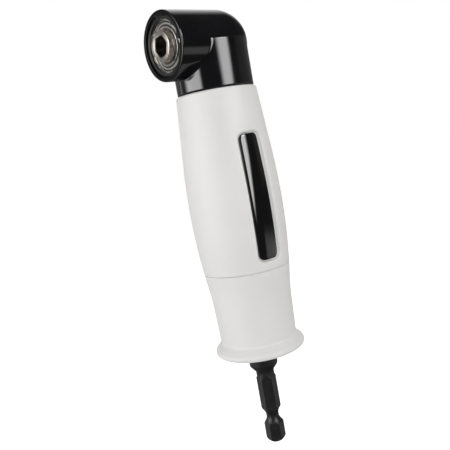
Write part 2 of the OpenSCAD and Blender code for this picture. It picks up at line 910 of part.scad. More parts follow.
module neck_bearing_cage() {
    color("goldenrod") translate([0, 0, axis_z - neck_bearing_foot]) bearing_cage(neck_bearing);
}

module tail_bearing_balls() {
    color("white") translate([0, 0, tail_z]) bearing_balls(tail_bearing);
}

module tail_bearing_cage() {
    color("goldenrod") translate([0, 0, tail_z]) bearing_cage(tail_bearing);
}

head_housing();
front_circlip();
front_bearing_outer();
front_bearing_shields();
rear_bush();
thrust_washer();
neck_bearing_outer();
neck_bearing_shields();
neck_circlip();
handle_tube();
spigot_pins();
grip_sleeve();
panel_inlay();
end_guard();
tail_bearing_outer();
tail_bearing_shields();
tail_circlip();
wave_washer();
tail_seal();
drive_shaft();
input_pinion();
pinion_pin();
shaft_circlip();
neck_bearing_inner();
tail_bearing_inner();
output_spindle();
socket_magnet();
output_gear();
gear_key();
front_bearing_inner();
front_bearing_balls();
front_bearing_cage();
neck_bearing_balls();
neck_bearing_cage();
tail_bearing_balls();
tail_bearing_cage();
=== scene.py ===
"""The look of a right angle drill attachment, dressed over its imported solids.

The handle stands along +Z with the drive shank at its foot. The bit socket points
along -Y, and the grip's dark panel faces +X. Sizes are in millimetres up to the
point where a mesh is made, which is in metres.
"""

import json
import logging
import math
from dataclasses import dataclass, field, replace
from enum import Enum
from typing import Callable, Iterable, Sequence

import bpy
import numpy as np
from mathutils import Matrix, Vector


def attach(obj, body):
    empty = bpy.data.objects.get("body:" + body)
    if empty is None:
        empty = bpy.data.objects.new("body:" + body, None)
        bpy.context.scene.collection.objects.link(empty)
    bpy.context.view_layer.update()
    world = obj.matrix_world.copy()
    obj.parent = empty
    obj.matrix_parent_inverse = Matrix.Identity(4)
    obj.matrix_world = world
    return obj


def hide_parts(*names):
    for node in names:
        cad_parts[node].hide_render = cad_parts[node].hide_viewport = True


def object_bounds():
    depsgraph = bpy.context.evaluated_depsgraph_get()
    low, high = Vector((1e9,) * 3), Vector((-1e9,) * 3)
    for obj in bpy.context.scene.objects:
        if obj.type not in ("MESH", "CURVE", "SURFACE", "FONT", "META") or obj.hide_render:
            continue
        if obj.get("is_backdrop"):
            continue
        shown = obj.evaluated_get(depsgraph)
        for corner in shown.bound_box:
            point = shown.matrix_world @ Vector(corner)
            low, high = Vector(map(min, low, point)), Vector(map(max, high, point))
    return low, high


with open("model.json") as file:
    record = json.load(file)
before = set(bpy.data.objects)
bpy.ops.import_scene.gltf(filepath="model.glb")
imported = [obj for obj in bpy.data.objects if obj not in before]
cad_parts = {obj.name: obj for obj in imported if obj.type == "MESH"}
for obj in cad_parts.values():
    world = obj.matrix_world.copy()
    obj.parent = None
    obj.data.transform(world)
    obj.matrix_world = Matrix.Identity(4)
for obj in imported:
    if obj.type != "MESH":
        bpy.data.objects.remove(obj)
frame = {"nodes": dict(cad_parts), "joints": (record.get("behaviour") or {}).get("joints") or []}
CAD_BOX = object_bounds()

LOG = logging.getLogger("drill_attachment")
MM = 0.001
QUARTER = math.pi/2
WHITE = (1, 1, 1, 1)
COAT_ROUGHNESS = 0.04
# Largest share of an edge that the rounding of a corner takes
CORNER_SHARE = 0.45
# Faces on each rounded corner of an outline
CORNER_STEPS = 4
# Bend from which a mesh of a hexagonal piece keeps a sharp edge, in degrees
SHARP_BEND = 34.0
# Width of the blend and of the bevel where a hexagon meets a turned form, in mm
HEX_BLEND = 0.12
HEX_BEVEL = 0.11
# Share of a face's normal along the output axis from which it counts as an end face,
# and below which it counts as a flank
FACING_SHARE = 0.95
FLANK_SHARE = 0.2
# Share of an arc's radius that a height is held to, so that its root stays real
ARC_SHARE = 0.9
# Share of a quarter round that an edge rolls over, so that it never turns upright
STEEPEST = 0.999


def joint_place(name: str) -> Vector:
    """Place of a joint's axis in the frame.

    Args:
        name: The joint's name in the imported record.

    Returns:
        The point in metres.
    """
    return Vector(next(j["pos_m"] for j in frame["joints"] if j["name"] == name))


OUTPUT_PLACE = joint_place("output_spin")


class Body(Enum):
    """The bodies of the mechanism that the pieces here ride on."""

    HOUSING = "housing"
    INPUT = "input"
    OUTPUT = "output"


class Axis(Enum):
    """The two axes that turned pieces are made about."""

    HANDLE = "handle"
    OUTPUT = "output"

    def matrix(self) -> Matrix:
        """Turns a piece made along +Z onto this axis, and scales it to metres.

        Returns:
            The matrix from mm along +Z to the frame.
        """
        scale = Matrix.Scale(MM, 4)
        if self is Axis.HANDLE:
            return scale
        return Matrix.Translation(OUTPUT_PLACE) @ Matrix.Rotation(QUARTER, 4, "X") @ scale


# Node helpers

class Graph:
    """A node tree with short calls for adding and linking nodes."""

    def __init__(self, tree: bpy.types.NodeTree) -> None:
        """Starts on an empty tree."""
        self.tree = tree
        self.tree.nodes.clear()

    def add(self, kind: str, settings: dict | None = None, **sockets: object) -> bpy.types.Node:
        """Adds a node.

        Args:
            kind: The node's type, such as ShaderNodeMath.
            settings: Values of the node's own properties.
            sockets: Values or output sockets for inputs, by name with _ for a space.

        Returns:
            The new node.
        """
        node = self.tree.nodes.new(kind)
        for name, value in (settings or {}).items():
            setattr(node, name, value)
        for name, value in sockets.items():
            key = int(name[1:]) if name[0] == "i" and name[1:].isdigit() else name.replace("_", " ")
            self.set(node.inputs[key], value)
        return node

    def set(self, socket: bpy.types.NodeSocket, value: object) -> None:
        """Links an output socket to an input, or sets the input's value.

        Args:
            socket: The input.
            value: An output socket or a plain value.
        """
        if isinstance(value, bpy.types.NodeSocket):
            self.tree.links.new(value, socket)
        else:
            socket.default_value = value

    def math(self, operation: str, a: object, b: object = 0.0) -> bpy.types.NodeSocket:
        """Adds a Math node and returns its result."""
        return self.add("ShaderNodeMath", {"operation": operation}, i0=a, i1=b).outputs[0]

    def noise(self, vector: object, scale: object, detail: float = 3.0, roughness: float = 0.5,
              dimensions: str = "3D") -> bpy.types.NodeSocket:
        """Adds a noise texture.

        Args:
            vector: Where it is read.
            scale: Its size, per metre.
            detail: How many finer layers it has.
            roughness: Weight of the finer layers.
            dimensions: Whether it varies in two or in three dimensions.

        Returns:
            Its grey value.
        """
        return self.add("ShaderNodeTexNoise", {"noise_dimensions": dimensions}, Vector=vector,
                        Scale=scale, Detail=detail, Roughness=roughness).outputs["Fac"]

    def range(self, value: object, low: float, high: float, to_low: float = 0.0,
              to_high: float = 1.0) -> bpy.types.NodeSocket:
        """Maps a value from one range to another.

        Args:
            value: The value.
            low: Start of its range.
            high: End of its range.
            to_low: What the start becomes.
            to_high: What the end becomes.

        Returns:
            The clamped result.
        """
        node = self.add("ShaderNodeMapRange")
        for key, item in zip(range(5), (value, low, high, to_low, to_high)):
            self.set(node.inputs[key], item)
        return node.outputs[0]

    def blend(self, share: object, a: object, b: object) -> bpy.types.NodeSocket:
        """Mixes two colours.

        Args:
            share: Share of the second colour.
            a: The first colour.
            b: The second colour.

        Returns:
            The mixed colour.
        """
        node = self.add("ShaderNodeMix", {"data_type": "RGBA"})
        for key, item in ((0, share), (6, a), (7, b)):
            self.set(node.inputs[key], item)
        return node.outputs[2]


def new_material(name: str) -> tuple[bpy.types.Material, Graph]:
    """Makes a material with an empty node tree.

    Args:
        name: The material's name.

    Returns:
        The material and its graph.
    """
    made = bpy.data.materials.new(name)
    made.use_nodes = True
    return made, Graph(made.node_tree)


def new_group(name: str, inputs: Sequence[tuple[str, str, object]],
              outputs: Sequence[str]) -> tuple[Graph, bpy.types.Node, bpy.types.Node]:
    """Makes an empty shader node group.

    Args:
        name: The group's name.
        inputs: Name, socket type and default of each input.
        outputs: Names of the outputs, all of them plain values.

    Returns:
        The group's graph, its input node and its output node.
    """
    tree = bpy.data.node_groups.new(name, "ShaderNodeTree")
    for label, kind, default in inputs:
        socket = tree.interface.new_socket(name=label, in_out="INPUT", socket_type=kind)
        if default is not None:
            socket.default_value = default
    for label in outputs:
        tree.interface.new_socket(name=label, in_out="OUTPUT", socket_type="NodeSocketFloat")
    graph = Graph(tree)
    return graph, graph.add("NodeGroupInput"), graph.add("NodeGroupOutput")


# Surface effects that several finishes share

def skin_group() -> bpy.types.NodeTree:
    """Grain of a moulded or sprayed skin.

    Returns:
        A group with a fine height, and a slow tone for colour and gloss.
    """
    graph, source, result = new_group(
        "skin_grain",
        [("Vector", "NodeSocketVector", None), ("Grain Scale", "NodeSocketFloat", 3000.0),
         ("Cloud Scale", "NodeSocketFloat", 90.0)],
        ["Height", "Tone"],
    )
    vector = source.outputs["Vector"]
    fine = graph.noise(vector, source.outputs["Grain Scale"], 2.0)
    cloud = graph.noise(vector, source.outputs["Cloud Scale"], 4.0, 0.55)
    graph.set(result.inputs["Height"], fine)
    graph.set(result.inputs["Tone"], graph.range(cloud, 0.3, 0.7))
    return graph.tree


def turning_group() -> bpy.types.NodeTree:
    """Fine rings that a cutting tool leaves round the local Z axis.

    Returns:
        A group with the height of the rings, and a tone that varies with them.
    """
    graph, source, result = new_group(
        "turning_rings",
        [("Vector", "NodeSocketVector", None), ("Rings Per Metre", "NodeSocketFloat", 9000.0),
         ("Patch Scale", "NodeSocketFloat", 300.0)],
        ["Height", "Tone"],
    )
    vector = source.outputs["Vector"]
    parts = graph.add("ShaderNodeSeparateXYZ", Vector=vector)
    across = graph.add("ShaderNodeCombineXYZ", X=parts.outputs["X"], Y=parts.outputs["Y"])
    radius = graph.add("ShaderNodeVectorMath", {"operation": "LENGTH"}, i0=across.outputs[0])
    plane = graph.add("ShaderNodeCombineXYZ", X=radius.outputs["Value"], Y=parts.outputs["Z"])
    rings = graph.noise(plane.outputs[0], source.outputs["Rings Per Metre"], 2.0, dimensions="2D")
    patch = graph.noise(vector, source.outputs["Patch Scale"])
    graph.set(result.inputs["Height"], rings)
    halves = [graph.math("MULTIPLY", part, 0.5) for part in (rings, patch)]
    mixed = graph.math("ADD", *halves)
    graph.set(result.inputs["Tone"], graph.range(mixed, 0.35, 0.65))
    return graph.tree


def wear_group() -> bpy.types.NodeTree:
    """Edges rubbed bare, broken up by noise.

    Returns:
        A group with a mask that is 1 on worn edges.
    """
    graph, source, result = new_group(
        "edge_wear",
        [("Vector", "NodeSocketVector", None), ("Break Scale", "NodeSocketFloat", 900.0),
         ("Start", "NodeSocketFloat", 0.53), ("End", "NodeSocketFloat", 0.62)],
        ["Mask"],
    )
    edge = graph.add("ShaderNodeNewGeometry").outputs["Pointiness"]
    rubbed = graph.add("ShaderNodeMapRange", Value=edge, i1=source.outputs["Start"],
                       i2=source.outputs["End"]).outputs[0]
    patches = graph.noise(source.outputs["Vector"], source.outputs["Break Scale"])
    broken = graph.range(patches, 0.35, 0.6)
    graph.set(result.inputs["Mask"], graph.math("MULTIPLY", rubbed, broken))
    return graph.tree


class Grain(Enum):
    """How a surface was made, and so which effect it shows."""

    SKIN = "skin_grain"
    TURNED = "turning_rings"


@dataclass(frozen=True)
class Finish:
    """One finish of the attachment.

    Fields:
        slot: The record's material slot.
        colour: Base colour where the tone is low.
        second: Base colour where the tone is high.
        roughness: Roughness where the tone is low and where it is high.
        grain: The surface effect.
        scale: Grain size, per metre.
        cloud: Size of the slow variation, per metre.
        depth: Height of the grain in metres.
        metallic: 1 for bare metal.
        level: Specular level.
        coat: Weight of a clear coat.
        wear: Colour of rubbed edges, or None.
        axis: The axis that turning rings run round.
    """

    slot: str
    colour: tuple[float, float, float]
    second: tuple[float, float, float]
    roughness: tuple[float, float]
    grain: Grain = Grain.TURNED
    scale: float = 9000.0
    cloud: float = 300.0
    depth: float = 2e-6
    metallic: float = 1.0
    level: float = 0.5
    coat: float = 0.0
    wear: tuple[float, float, float] | None = None
    axis: Axis = Axis.HANDLE

    def coordinates(self, graph: Graph) -> bpy.types.NodeSocket:
        """Adds object coordinates, turned so that local Z is the finish's axis.

        Args:
            graph: The material's graph.

        Returns:
            The coordinates.
        """
        place = graph.add("ShaderNodeTexCoord").outputs["Object"]
        if self.axis is Axis.HANDLE:
            return place
        mapping = graph.add("ShaderNodeMapping", {"vector_type": "TEXTURE"}, Vector=place)
        mapping.inputs["Location"].default_value = OUTPUT_PLACE
        mapping.inputs["Rotation"].default_value = (QUARTER, 0, 0)
        return mapping.outputs[0]

    def material(self) -> bpy.types.Material:
        """Builds the material.

        Returns:
            A new node material.
        """
        made, graph = new_material(f"{self.slot}_{self.axis.value}")
        where = self.coordinates(graph)
        effect = graph.add("ShaderNodeGroup", {"node_tree": bpy.data.node_groups[self.grain.value]})
        graph.set(effect.inputs["Vector"], where)
        graph.set(effect.inputs[1], self.scale)
        graph.set(effect.inputs[2], self.cloud)
        tone = effect.outputs["Tone"]
        colour = graph.blend(tone, (*self.colour, 1), (*self.second, 1))
        rough = graph.range(tone, 0.0, 1.0, *self.roughness)
        if self.wear:
            worn = graph.add("ShaderNodeGroup", {"node_tree": bpy.data.node_groups["edge_wear"]})
            graph.set(worn.inputs["Vector"], where)
            colour = graph.blend(worn.outputs["Mask"], colour, (*self.wear, 1))
        bump = graph.add("ShaderNodeBump", Strength=1.0, Distance=self.depth,
                         Height=effect.outputs["Height"])
        shader = graph.add(
            "ShaderNodeBsdfPrincipled", Base_Color=colour, Roughness=rough, Metallic=self.metallic,
            Specular_IOR_Level=self.level, Coat_Weight=self.coat,
            Coat_Roughness=COAT_ROUGHNESS,
            Normal=bump.outputs[0],
        )
        graph.add("ShaderNodeOutputMaterial", Surface=shader.outputs[0])
        return made


HEAD_BLACK = Finish(
    "gloss_black", (0.0035, 0.0035, 0.0042), (0.006, 0.006, 0.007), (0.07, 0.11),
    Grain.SKIN, scale=1400.0, cloud=120.0, depth=1.2e-6, metallic=0.0)
HEAD_BLACK_MOUTH = replace(HEAD_BLACK, axis=Axis.OUTPUT)
# A darker, less glossy copy of the gloss black: painted shade on the rim's end faces and inside the
# mouth
SHADED_MOUTH_BLACK = Finish(
    "gloss_black", (0.002, 0.002, 0.0024), (0.0035, 0.0035, 0.004), (0.07, 0.11),
    Grain.SKIN, scale=1400.0, cloud=120.0, depth=1e-6, metallic=0.0, level=0.2, axis=Axis.OUTPUT)
GRIP_GREY = Finish(
    "grip_plastic", (0.68, 0.673, 0.66), (0.7, 0.693, 0.68), (0.48, 0.56),
    Grain.SKIN, scale=4500.0, cloud=60.0, depth=6e-6, metallic=0.0, level=0.25)
PANEL_BLACK = Finish(
    "panel_plastic", (0.003, 0.003, 0.0035), (0.0045, 0.0045, 0.005), (0.04, 0.06),
    Grain.SKIN, scale=500.0, cloud=80.0, depth=4e-7, metallic=0.0, coat=0.3)
SHAFT_BLACK = Finish(
    "black_oxide", (0.008, 0.008, 0.009), (0.014, 0.014, 0.015), (0.32, 0.44),
    scale=7000.0, cloud=420.0, depth=1.5e-6, metallic=0.0, level=0.2, wear=(0.06, 0.059, 0.057))
NOSE_STEEL = Finish(
    "spindle_steel", (0.46, 0.42, 0.385), (0.56, 0.52, 0.48), (0.12, 0.19),
    cloud=350.0, depth=6e-7, axis=Axis.OUTPUT)
# A darker copy of the spindle steel: painted shade on the side of the nose
SHADED_FLANK_STEEL = Finish(
    "spindle_steel", (0.27, 0.24, 0.21), (0.36, 0.325, 0.29), (0.16, 0.24),
    cloud=350.0, depth=6e-7, axis=Axis.OUTPUT)
RACE_STEEL = Finish(
    "bearing_steel", (0.6, 0.58, 0.555), (0.74, 0.72, 0.695), (0.09, 0.15),
    depth=5e-7, axis=Axis.OUTPUT)
RACE_STEEL_HANDLE = replace(RACE_STEEL, axis=Axis.HANDLE)
SHIELD_STEEL = Finish(
    "shield_steel", (0.56, 0.535, 0.49), (0.7, 0.675, 0.63), (0.12, 0.2),
    cloud=800.0, depth=8e-7, axis=Axis.OUTPUT)
SHIELD_STEEL_HANDLE = replace(SHIELD_STEEL, axis=Axis.HANDLE)
CLIP_BLACK = Finish(
    "dark_steel", (0.006, 0.006, 0.007), (0.012, 0.012, 0.013), (0.14, 0.2),
    Grain.SKIN, scale=5000.0, cloud=500.0, depth=5e-7, metallic=0.0, level=0.45)
GEAR_STEEL = Finish(
    "gear_steel", (0.28, 0.28, 0.3), (0.36, 0.36, 0.38), (0.25, 0.38), axis=Axis.OUTPUT)
TUBE_STEEL = Finish("tube_steel", (0.42, 0.42, 0.44), (0.55, 0.55, 0.57), (0.25, 0.4))
BALL_STEEL = Finish(
    "ball_steel", (0.72, 0.72, 0.73), (0.78, 0.78, 0.79), (0.04, 0.07),
    Grain.SKIN, scale=3000.0, cloud=500.0, depth=2e-7)
CAGE_BRASS = Finish(
    "cage_brass", (0.62, 0.42, 0.16), (0.74, 0.54, 0.26), (0.28, 0.4),
    Grain.SKIN, scale=4000.0, cloud=500.0)
BUSH_BRONZE = Finish(
    "bronze", (0.36, 0.22, 0.1), (0.48, 0.31, 0.16), (0.35, 0.5),
    Grain.SKIN, scale=6000.0, cloud=500.0, depth=4e-6)
MAGNET_NICKEL = Finish(
    "magnet", (0.5, 0.49, 0.47), (0.6, 0.59, 0.57), (0.2, 0.3), axis=Axis.OUTPUT)
# Near-black rubber for the rings in the front shield's gaps: painted shade there
GAP_SHADE_RUBBER = Finish(
    "seal_rubber", (0.004, 0.004, 0.004), (0.008, 0.008, 0.008), (0.5, 0.65),
    Grain.SKIN, scale=5000.0, metallic=0.0, level=0.2, axis=Axis.OUTPUT)
SEAL_RUBBER = Finish(
    "seal_rubber", (0.012, 0.012, 0.012), (0.02, 0.02, 0.02), (0.55, 0.7),
    Grain.SKIN, scale=5000.0, depth=5e-6, metallic=0.0)


class Paints:
    """Makes each finish's material once."""

    def __init__(self) -> None:
        """Builds the shared effects."""
        skin_group()
        turning_group()
        wear_group()
        self.made: dict[Finish, bpy.types.Material] = {}

    def get(self, finish: Finish) -> bpy.types.Material:
        """The material of a finish, made when it is first asked for.

        Args:
            finish: The finish.

        Returns:
            Its material.
        """
        if finish not in self.made:
            self.made[finish] = finish.material()
        return self.made[finish]


PAINTS = Paints()


# Outlines and turned meshes

@dataclass(frozen=True)
class Outline:
    """An outline in the plane of radius and height, with its outward normals."""

    points: np.ndarray
    normals: np.ndarray


def rounded(corners: Iterable[tuple[float, float, float]]) -> Outline:
    """Rounds the corners of a closed outline.

    Args:
        corners: Radius, height and rounding of each corner in mm, anticlockwise
            with the radius to the right and the height up.

    Returns:
        The outline, with the exact normals of its arcs.
    """
    corners = [np.array(c, float) for c in corners]
    points, normals = [], []
    for before, here, after in zip(corners[-1:] + corners[:-1], corners, corners[1:] + corners[:1]):
        back, ahead = before[:2] - here[:2], after[:2] - here[:2]
        room = CORNER_SHARE*min(np.linalg.norm(back), np.linalg.norm(ahead))
        back, ahead = back/np.linalg.norm(back), ahead/np.linalg.norm(ahead)
        half = math.acos(max(-1.0, min(1.0, float(back @ ahead))))/2
        setback = min(here[2]/math.tan(half), room)
        radius = setback*math.tan(half)
        toward = (back + ahead)/np.linalg.norm(back + ahead)
        centre = here[:2] + toward*radius/math.sin(half)
        inward = back[0]*ahead[1] - back[1]*ahead[0] > 0
        first, last = here[:2] + back*setback - centre, here[:2] + ahead*setback - centre
        start = math.atan2(first[1], first[0])
        sweep = math.remainder(math.atan2(last[1], last[0]) - start, 2*math.pi)
        for step in range(CORNER_STEPS + 1):
            angle = start + sweep*step/CORNER_STEPS
            way = np.array([math.cos(angle), math.sin(angle)])
            points.append(centre + radius*way)
            normals.append(-way if inward else way)
    return Outline(np.array(points), np.array(normals))


def finish_mesh(name: str, verts: np.ndarray, faces: Sequence[Sequence[int]], finish: Finish,
                normals: np.ndarray | None = None, axis: Axis = Axis.HANDLE) -> bpy.types.Object:
    """Makes a smooth object from a mesh in mm.

    Args:
        name: The piece's name.
        verts: Vertices in mm, along the axis.
        faces: Vertex numbers of each face.
        finish: The piece's finish.
        normals: Exact normals of the vertices, or of the faces' corners, or None.
        axis: The axis that the piece is made along.

    Returns:
        The new object, linked to the scene.
    """
    mesh = bpy.data.meshes.new(name)
    mesh.from_pydata(np.asarray(verts).tolist(), [], [list(map(int, f)) for f in faces])
    mesh.update()
    mesh.shade_smooth()
    matrix = axis.matrix()
    mesh.transform(matrix)
    if normals is not None:
        turned = (normals @ (np.array(matrix.to_3x3())/MM).T).tolist()
        if len(normals) == len(mesh.vertices):
            mesh.normals_split_custom_set_from_vertices(turned)
        else:
            mesh.normals_split_custom_set(turned)
    mesh.materials.append(PAINTS.get(finish))
    piece = bpy.data.objects.new(name, mesh)
    bpy.context.scene.collection.objects.link(piece)
    return piece


def repaint(piece: bpy.types.Object, finish: Finish,
            chosen: Callable[[Vector, Vector], bool]) -> None:
    """Gives some faces of a piece another finish.

    Args:
        piece: The piece.
        finish: The other finish.
        chosen: Tells from a face's middle and normal, seen from the crossing of the
            two axes and in mm, whether it takes the finish.
    """
    piece.data.materials.append(PAINTS.get(finish))
    for face in piece.data.polygons:
        if chosen((face.center - OUTPUT_PLACE)/MM, face.normal):
            face.material_index = 1


def ring_faces(rows: int, columns: int, closed: bool) -> list[tuple[int, int, int, int]]:
    """Faces of a grid of vertices that closes round its columns.

    Args:
        rows: Number of rows.
        columns: Number of columns.
        closed: Whether the last row joins the first one too.

    Returns:
        The vertex numbers of each face.
    """
    faces = []
    for i in range(rows if closed else rows - 1):
        for k in range(columns):
            a, b = i*columns + k, i*columns + (k + 1) % columns
            c, d = ((i + 1) % rows)*columns + (k + 1) % columns, ((i + 1) % rows)*columns + k
            faces.append((a, b, c, d))
    return faces


def revolve(name: str, outline: Outline, finish: Finish, axis: Axis = Axis.HANDLE,
            columns: int = 128) -> bpy.types.Object:
    """Turns a closed outline about an axis.

    Args:
        name: The piece's name.
        outline: The outline in mm.
        finish: The piece's finish.
        axis: The axis to turn about.
        columns: Faces round the axis.

    Returns:
        The new object.
    """
    angle = np.arange(columns)*2*math.pi/columns
    way = np.stack([np.cos(angle), np.sin(angle)], axis=1)

    def spread(pairs: np.ndarray) -> np.ndarray:
        """Carries pairs of radius and height round the axis.

        Args:
            pairs: The pairs, one in each row.

        Returns:
            Their places in every column.
        """
        flat = pairs[:, None, :1]*way[None]
        high = np.broadcast_to(pairs[:, None, 1:], (*flat.shape[:2], 1))
        return np.concatenate([flat, high], axis=2).reshape(-1, 3)

    faces = ring_faces(len(outline.points), columns, True)
    return finish_mesh(name, spread(outline.points), faces, finish, spread(outline.normals), axis)


def dress(piece: bpy.types.Object, body: Body, finish: Finish, *nodes: str) -> bpy.types.Object:
    """Joins a piece to the mechanism in place of its solids.

    Args:
        piece: The piece.
        body: The body that it rides on.
        finish: Its finish; not used.
        nodes: The solids that it stands for.

    Returns:
        The piece.
    """
    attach(piece, body.value)
    if nodes:
        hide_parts(*nodes)
    LOG.info("%s: %d faces on %s", piece.name, len(piece.data.polygons), body.value)
    return piece


def turned_piece(name: str, corners: Iterable[tuple[float, float, float]], body: Body,
                 finish: Finish, *nodes: str, axis: Axis = Axis.OUTPUT) -> bpy.types.Object:
    """Turns a rounded outline about an axis and joins it to the mechanism.

    Args:
        name: The piece's name.
        corners: Radius, height and rounding of each corner in mm, as rounded takes them.
        body: The body that it rides on.
        finish: Its finish.
        nodes: The solids that it stands for.
        axis: The axis to turn about.

    Returns:
        The piece.
    """
    return dress(revolve(name, rounded(corners), finish, axis), body, finish, *nodes)


@dataclass(frozen=True)
class Hexagon:
    """A hexagon about an axis, with rounded corners, in mm and degrees."""

    across_flats: float
    turn: float
    rounding: float = 0.2

    def reach(self, angle: np.ndarray) -> np.ndarray:
        """Distance from the axis to the hexagon.

        Args:
            angle: Directions in radians.

        Returns:
            The distances in mm.
        """
        half = self.across_flats/2
        sector = math.pi/3
        offset = np.mod(angle - math.radians(self.turn), sector)
        from_corner = np.minimum(offset, sector - offset)
        from_flat = sector/2 - from_corner
        middle = (half - self.rounding)/math.cos(sector/2)
        reach2 = np.maximum(self.rounding**2 - (middle*np.sin(from_corner))**2, 0)
        flat_end = math.atan((half - self.rounding)*math.tan(sector/2)/half)
        arc = middle*np.cos(from_corner) + np.sqrt(reach2)
        return np.where(from_flat > flat_end, arc, half/np.cos(from_flat))

    def columns(self) -> np.ndarray:
        """Directions for a mesh, closer together at the corners.

        Returns:
            The directions in radians, once round.
        """
        near = np.radians([0.0, 0.7, 1.4, 2.1, 3.0])
        across = np.radians(np.linspace(5.0, 55.0, 17))
        sector = np.concatenate([near, across, math.pi/3 - near[:0:-1]])
        start = math.radians(self.turn)
        return np.concatenate([start + k*math.pi/3 + sector for k in range(6)])


class Hex(Enum):
    """How a row of a turned piece meets the hexagon."""

    NONE = "plain"
    SHANK = "inside the hexagon"
    SOCKET = "outside the hexagon"
    MOUTH = "outside the bevel round the hexagon"


Row = tuple[float, float, Hex]


def soft_least(a: np.ndarray, b: np.ndarray, width: float) -> np.ndarray:
    """The lesser of two distances, blended over a width where they cross."""
    share = np.clip(0.5 + 0.5*(b - a)/width, 0.0, 1.0)
    return b + (a - b)*share - width*share*(1 - share)


def turn_hexagonal(name: str, rows: Sequence[Row], hexagon: Hexagon,
                   finish: Finish, axis: Axis, dip: float = 0.0) -> bpy.types.Object:
    """Makes a turned piece with hexagonal stretches.

    Args:
        name: The piece's name.
        rows: Radius, height and kind of each row, from the axis at one end round
            the outside to the axis again.
        hexagon: The hexagon.
        finish: The piece's finish.
        axis: The axis to turn about.
        dip: Slope of the face round a socket's mouth.

    Returns:
        The new object.
    """
    angle = hexagon.columns()
    reach = hexagon.reach(angle)
    grid = []
    for radius, height, kind in rows[1:-1]:
        limit = np.full_like(angle, radius)
        if kind is Hex.SHANK:
            limit = soft_least(limit, reach, HEX_BLEND)
        elif kind is Hex.SOCKET:
            limit = -soft_least(-limit, -reach, HEX_BLEND)
        elif kind is Hex.MOUTH:
            limit = np.maximum(limit, reach + HEX_BEVEL)
        up = height + (limit - radius)*(dip if kind is Hex.MOUTH else 0)
        grid.append(np.stack([limit*np.cos(angle), limit*np.sin(angle), up], axis=1))
    count = len(angle)
    verts = np.concatenate([*grid, [[0, 0, rows[0][1]], [0, 0, rows[-1][1]]]])
    faces: list[tuple[int, ...]] = list(ring_faces(len(grid), count, False))
    start, end, top = len(verts) - 2, len(verts) - 1, (len(grid) - 1)*count
    faces += [(start, (k + 1) % count, k) for k in range(count)]
    faces += [(end, top + k, top + (k + 1) % count) for k in range(count)]
    piece = finish_mesh(name, verts, faces, finish, None, axis)
    piece.data.set_sharp_from_angle(angle=math.radians(SHARP_BEND))
    return piece


def steps_between(first: tuple[float, float], last: tuple[float, float], count: int,
                  kind: Hex = Hex.NONE) -> list[Row]:
    """Rows on a straight line, without its last point.

    Args:
        first: Radius and height of the start in mm.
        last: Radius and height of the end in mm.
        count: Number of rows.
        kind: How the rows meet the hexagon.

    Returns:
        The rows.
    """
    return [
        (first[0] + (last[0] - first[0])*i/count, first[1] + (last[1] - first[1])*i/count, kind)
        for i in range(count)
    ]


def eased(corners: Sequence[tuple[float, float]], cut_back: float) -> list[Row]:
    """Makes plain rows along a path, with its corners rounded.

    Args:
        corners: Radius and height of each corner, and of the path's two ends.
        cut_back: Length that a corner is cut back by on each side, in mm.

    Returns:
        The rows, four of them in place of each corner.
    """
    path = [corners[0]]
    for before, here, after in zip(corners, corners[1:], corners[2:]):
        p, q, r = (np.array(item, float) for item in (before, here, after))
        back, ahead = np.linalg.norm(p - q), np.linalg.norm(r - q)
        cut = min(cut_back, CORNER_SHARE*back, CORNER_SHARE*ahead)
        start, end = q + (p - q)/back*cut, q + (r - q)/ahead*cut
        for t in (0.0, 0.33, 0.67, 1.0):
            point = (1 - t)**2*start + 2*t*(1 - t)*q + t**2*end
            path.append((float(point[0]), float(point[1])))
    return [(radius, height, Hex.NONE) for radius, height in [*path, corners[-1]]]


# Solid forms given by a distance field

Field = Callable[[np.ndarray, np.ndarray, np.ndarray], np.ndarray]
# Distance over which a field's slope is taken, in mm
SLOPE_REACH = 0.01
# Rounds that find where an edge is crossed, and the share of it left at each end
CROSSING_ROUNDS = 5
EDGE_MARGIN = 0.02
# Pull of a cell's vertex to the middle of its crossings, and its furthest place in cells
MIDDLE_PULL = 0.02
CELL_REACH = 0.7
# A face's corner takes the face's normal where the field beside it bends less than
# the first angle and its own normal differs by more than the second, in degrees
FLAT_BEND = 4
CREASE_BEND = 6
# How far beside the corner that is read, as a share of the way to the face's middle
NEAR_SHARE = 0.6


def round_union(a: np.ndarray, b: np.ndarray, radius: float) -> np.ndarray:
    """Joins two distance fields with a fillet of the given radius."""
    across = np.sqrt(np.maximum(radius - a, 0)**2 + np.maximum(radius - b, 0)**2)
    return np.maximum(radius, np.minimum(a, b)) - across


def round_cut(a: np.ndarray, b: np.ndarray, radius: float) -> np.ndarray:
    """Keeps what lies in both distance fields, with rounded edges."""
    across = np.sqrt(np.maximum(radius + a, 0)**2 + np.maximum(radius + b, 0)**2)
    return np.minimum(-radius, np.maximum(a, b)) + across


def slope_of(shape: Field, points: np.ndarray) -> np.ndarray:
    """Gradient of a distance field at points.

    Args:
        shape: The field.
        points: The points, one in each row.

    Returns:
        The gradients, one in each row.
    """
    slopes = []
    for k in range(3):
        shift = np.zeros(3)
        shift[k] = SLOPE_REACH
        change = shape(*(points + shift).T) - shape(*(points - shift).T)
        slopes.append(change/(2*SLOPE_REACH))
    return np.stack(slopes, axis=1)


def unit(vectors: np.ndarray) -> np.ndarray:
    """Vectors scaled to a length of 1."""
    return vectors/np.linalg.norm(vectors, axis=-1)[..., None]


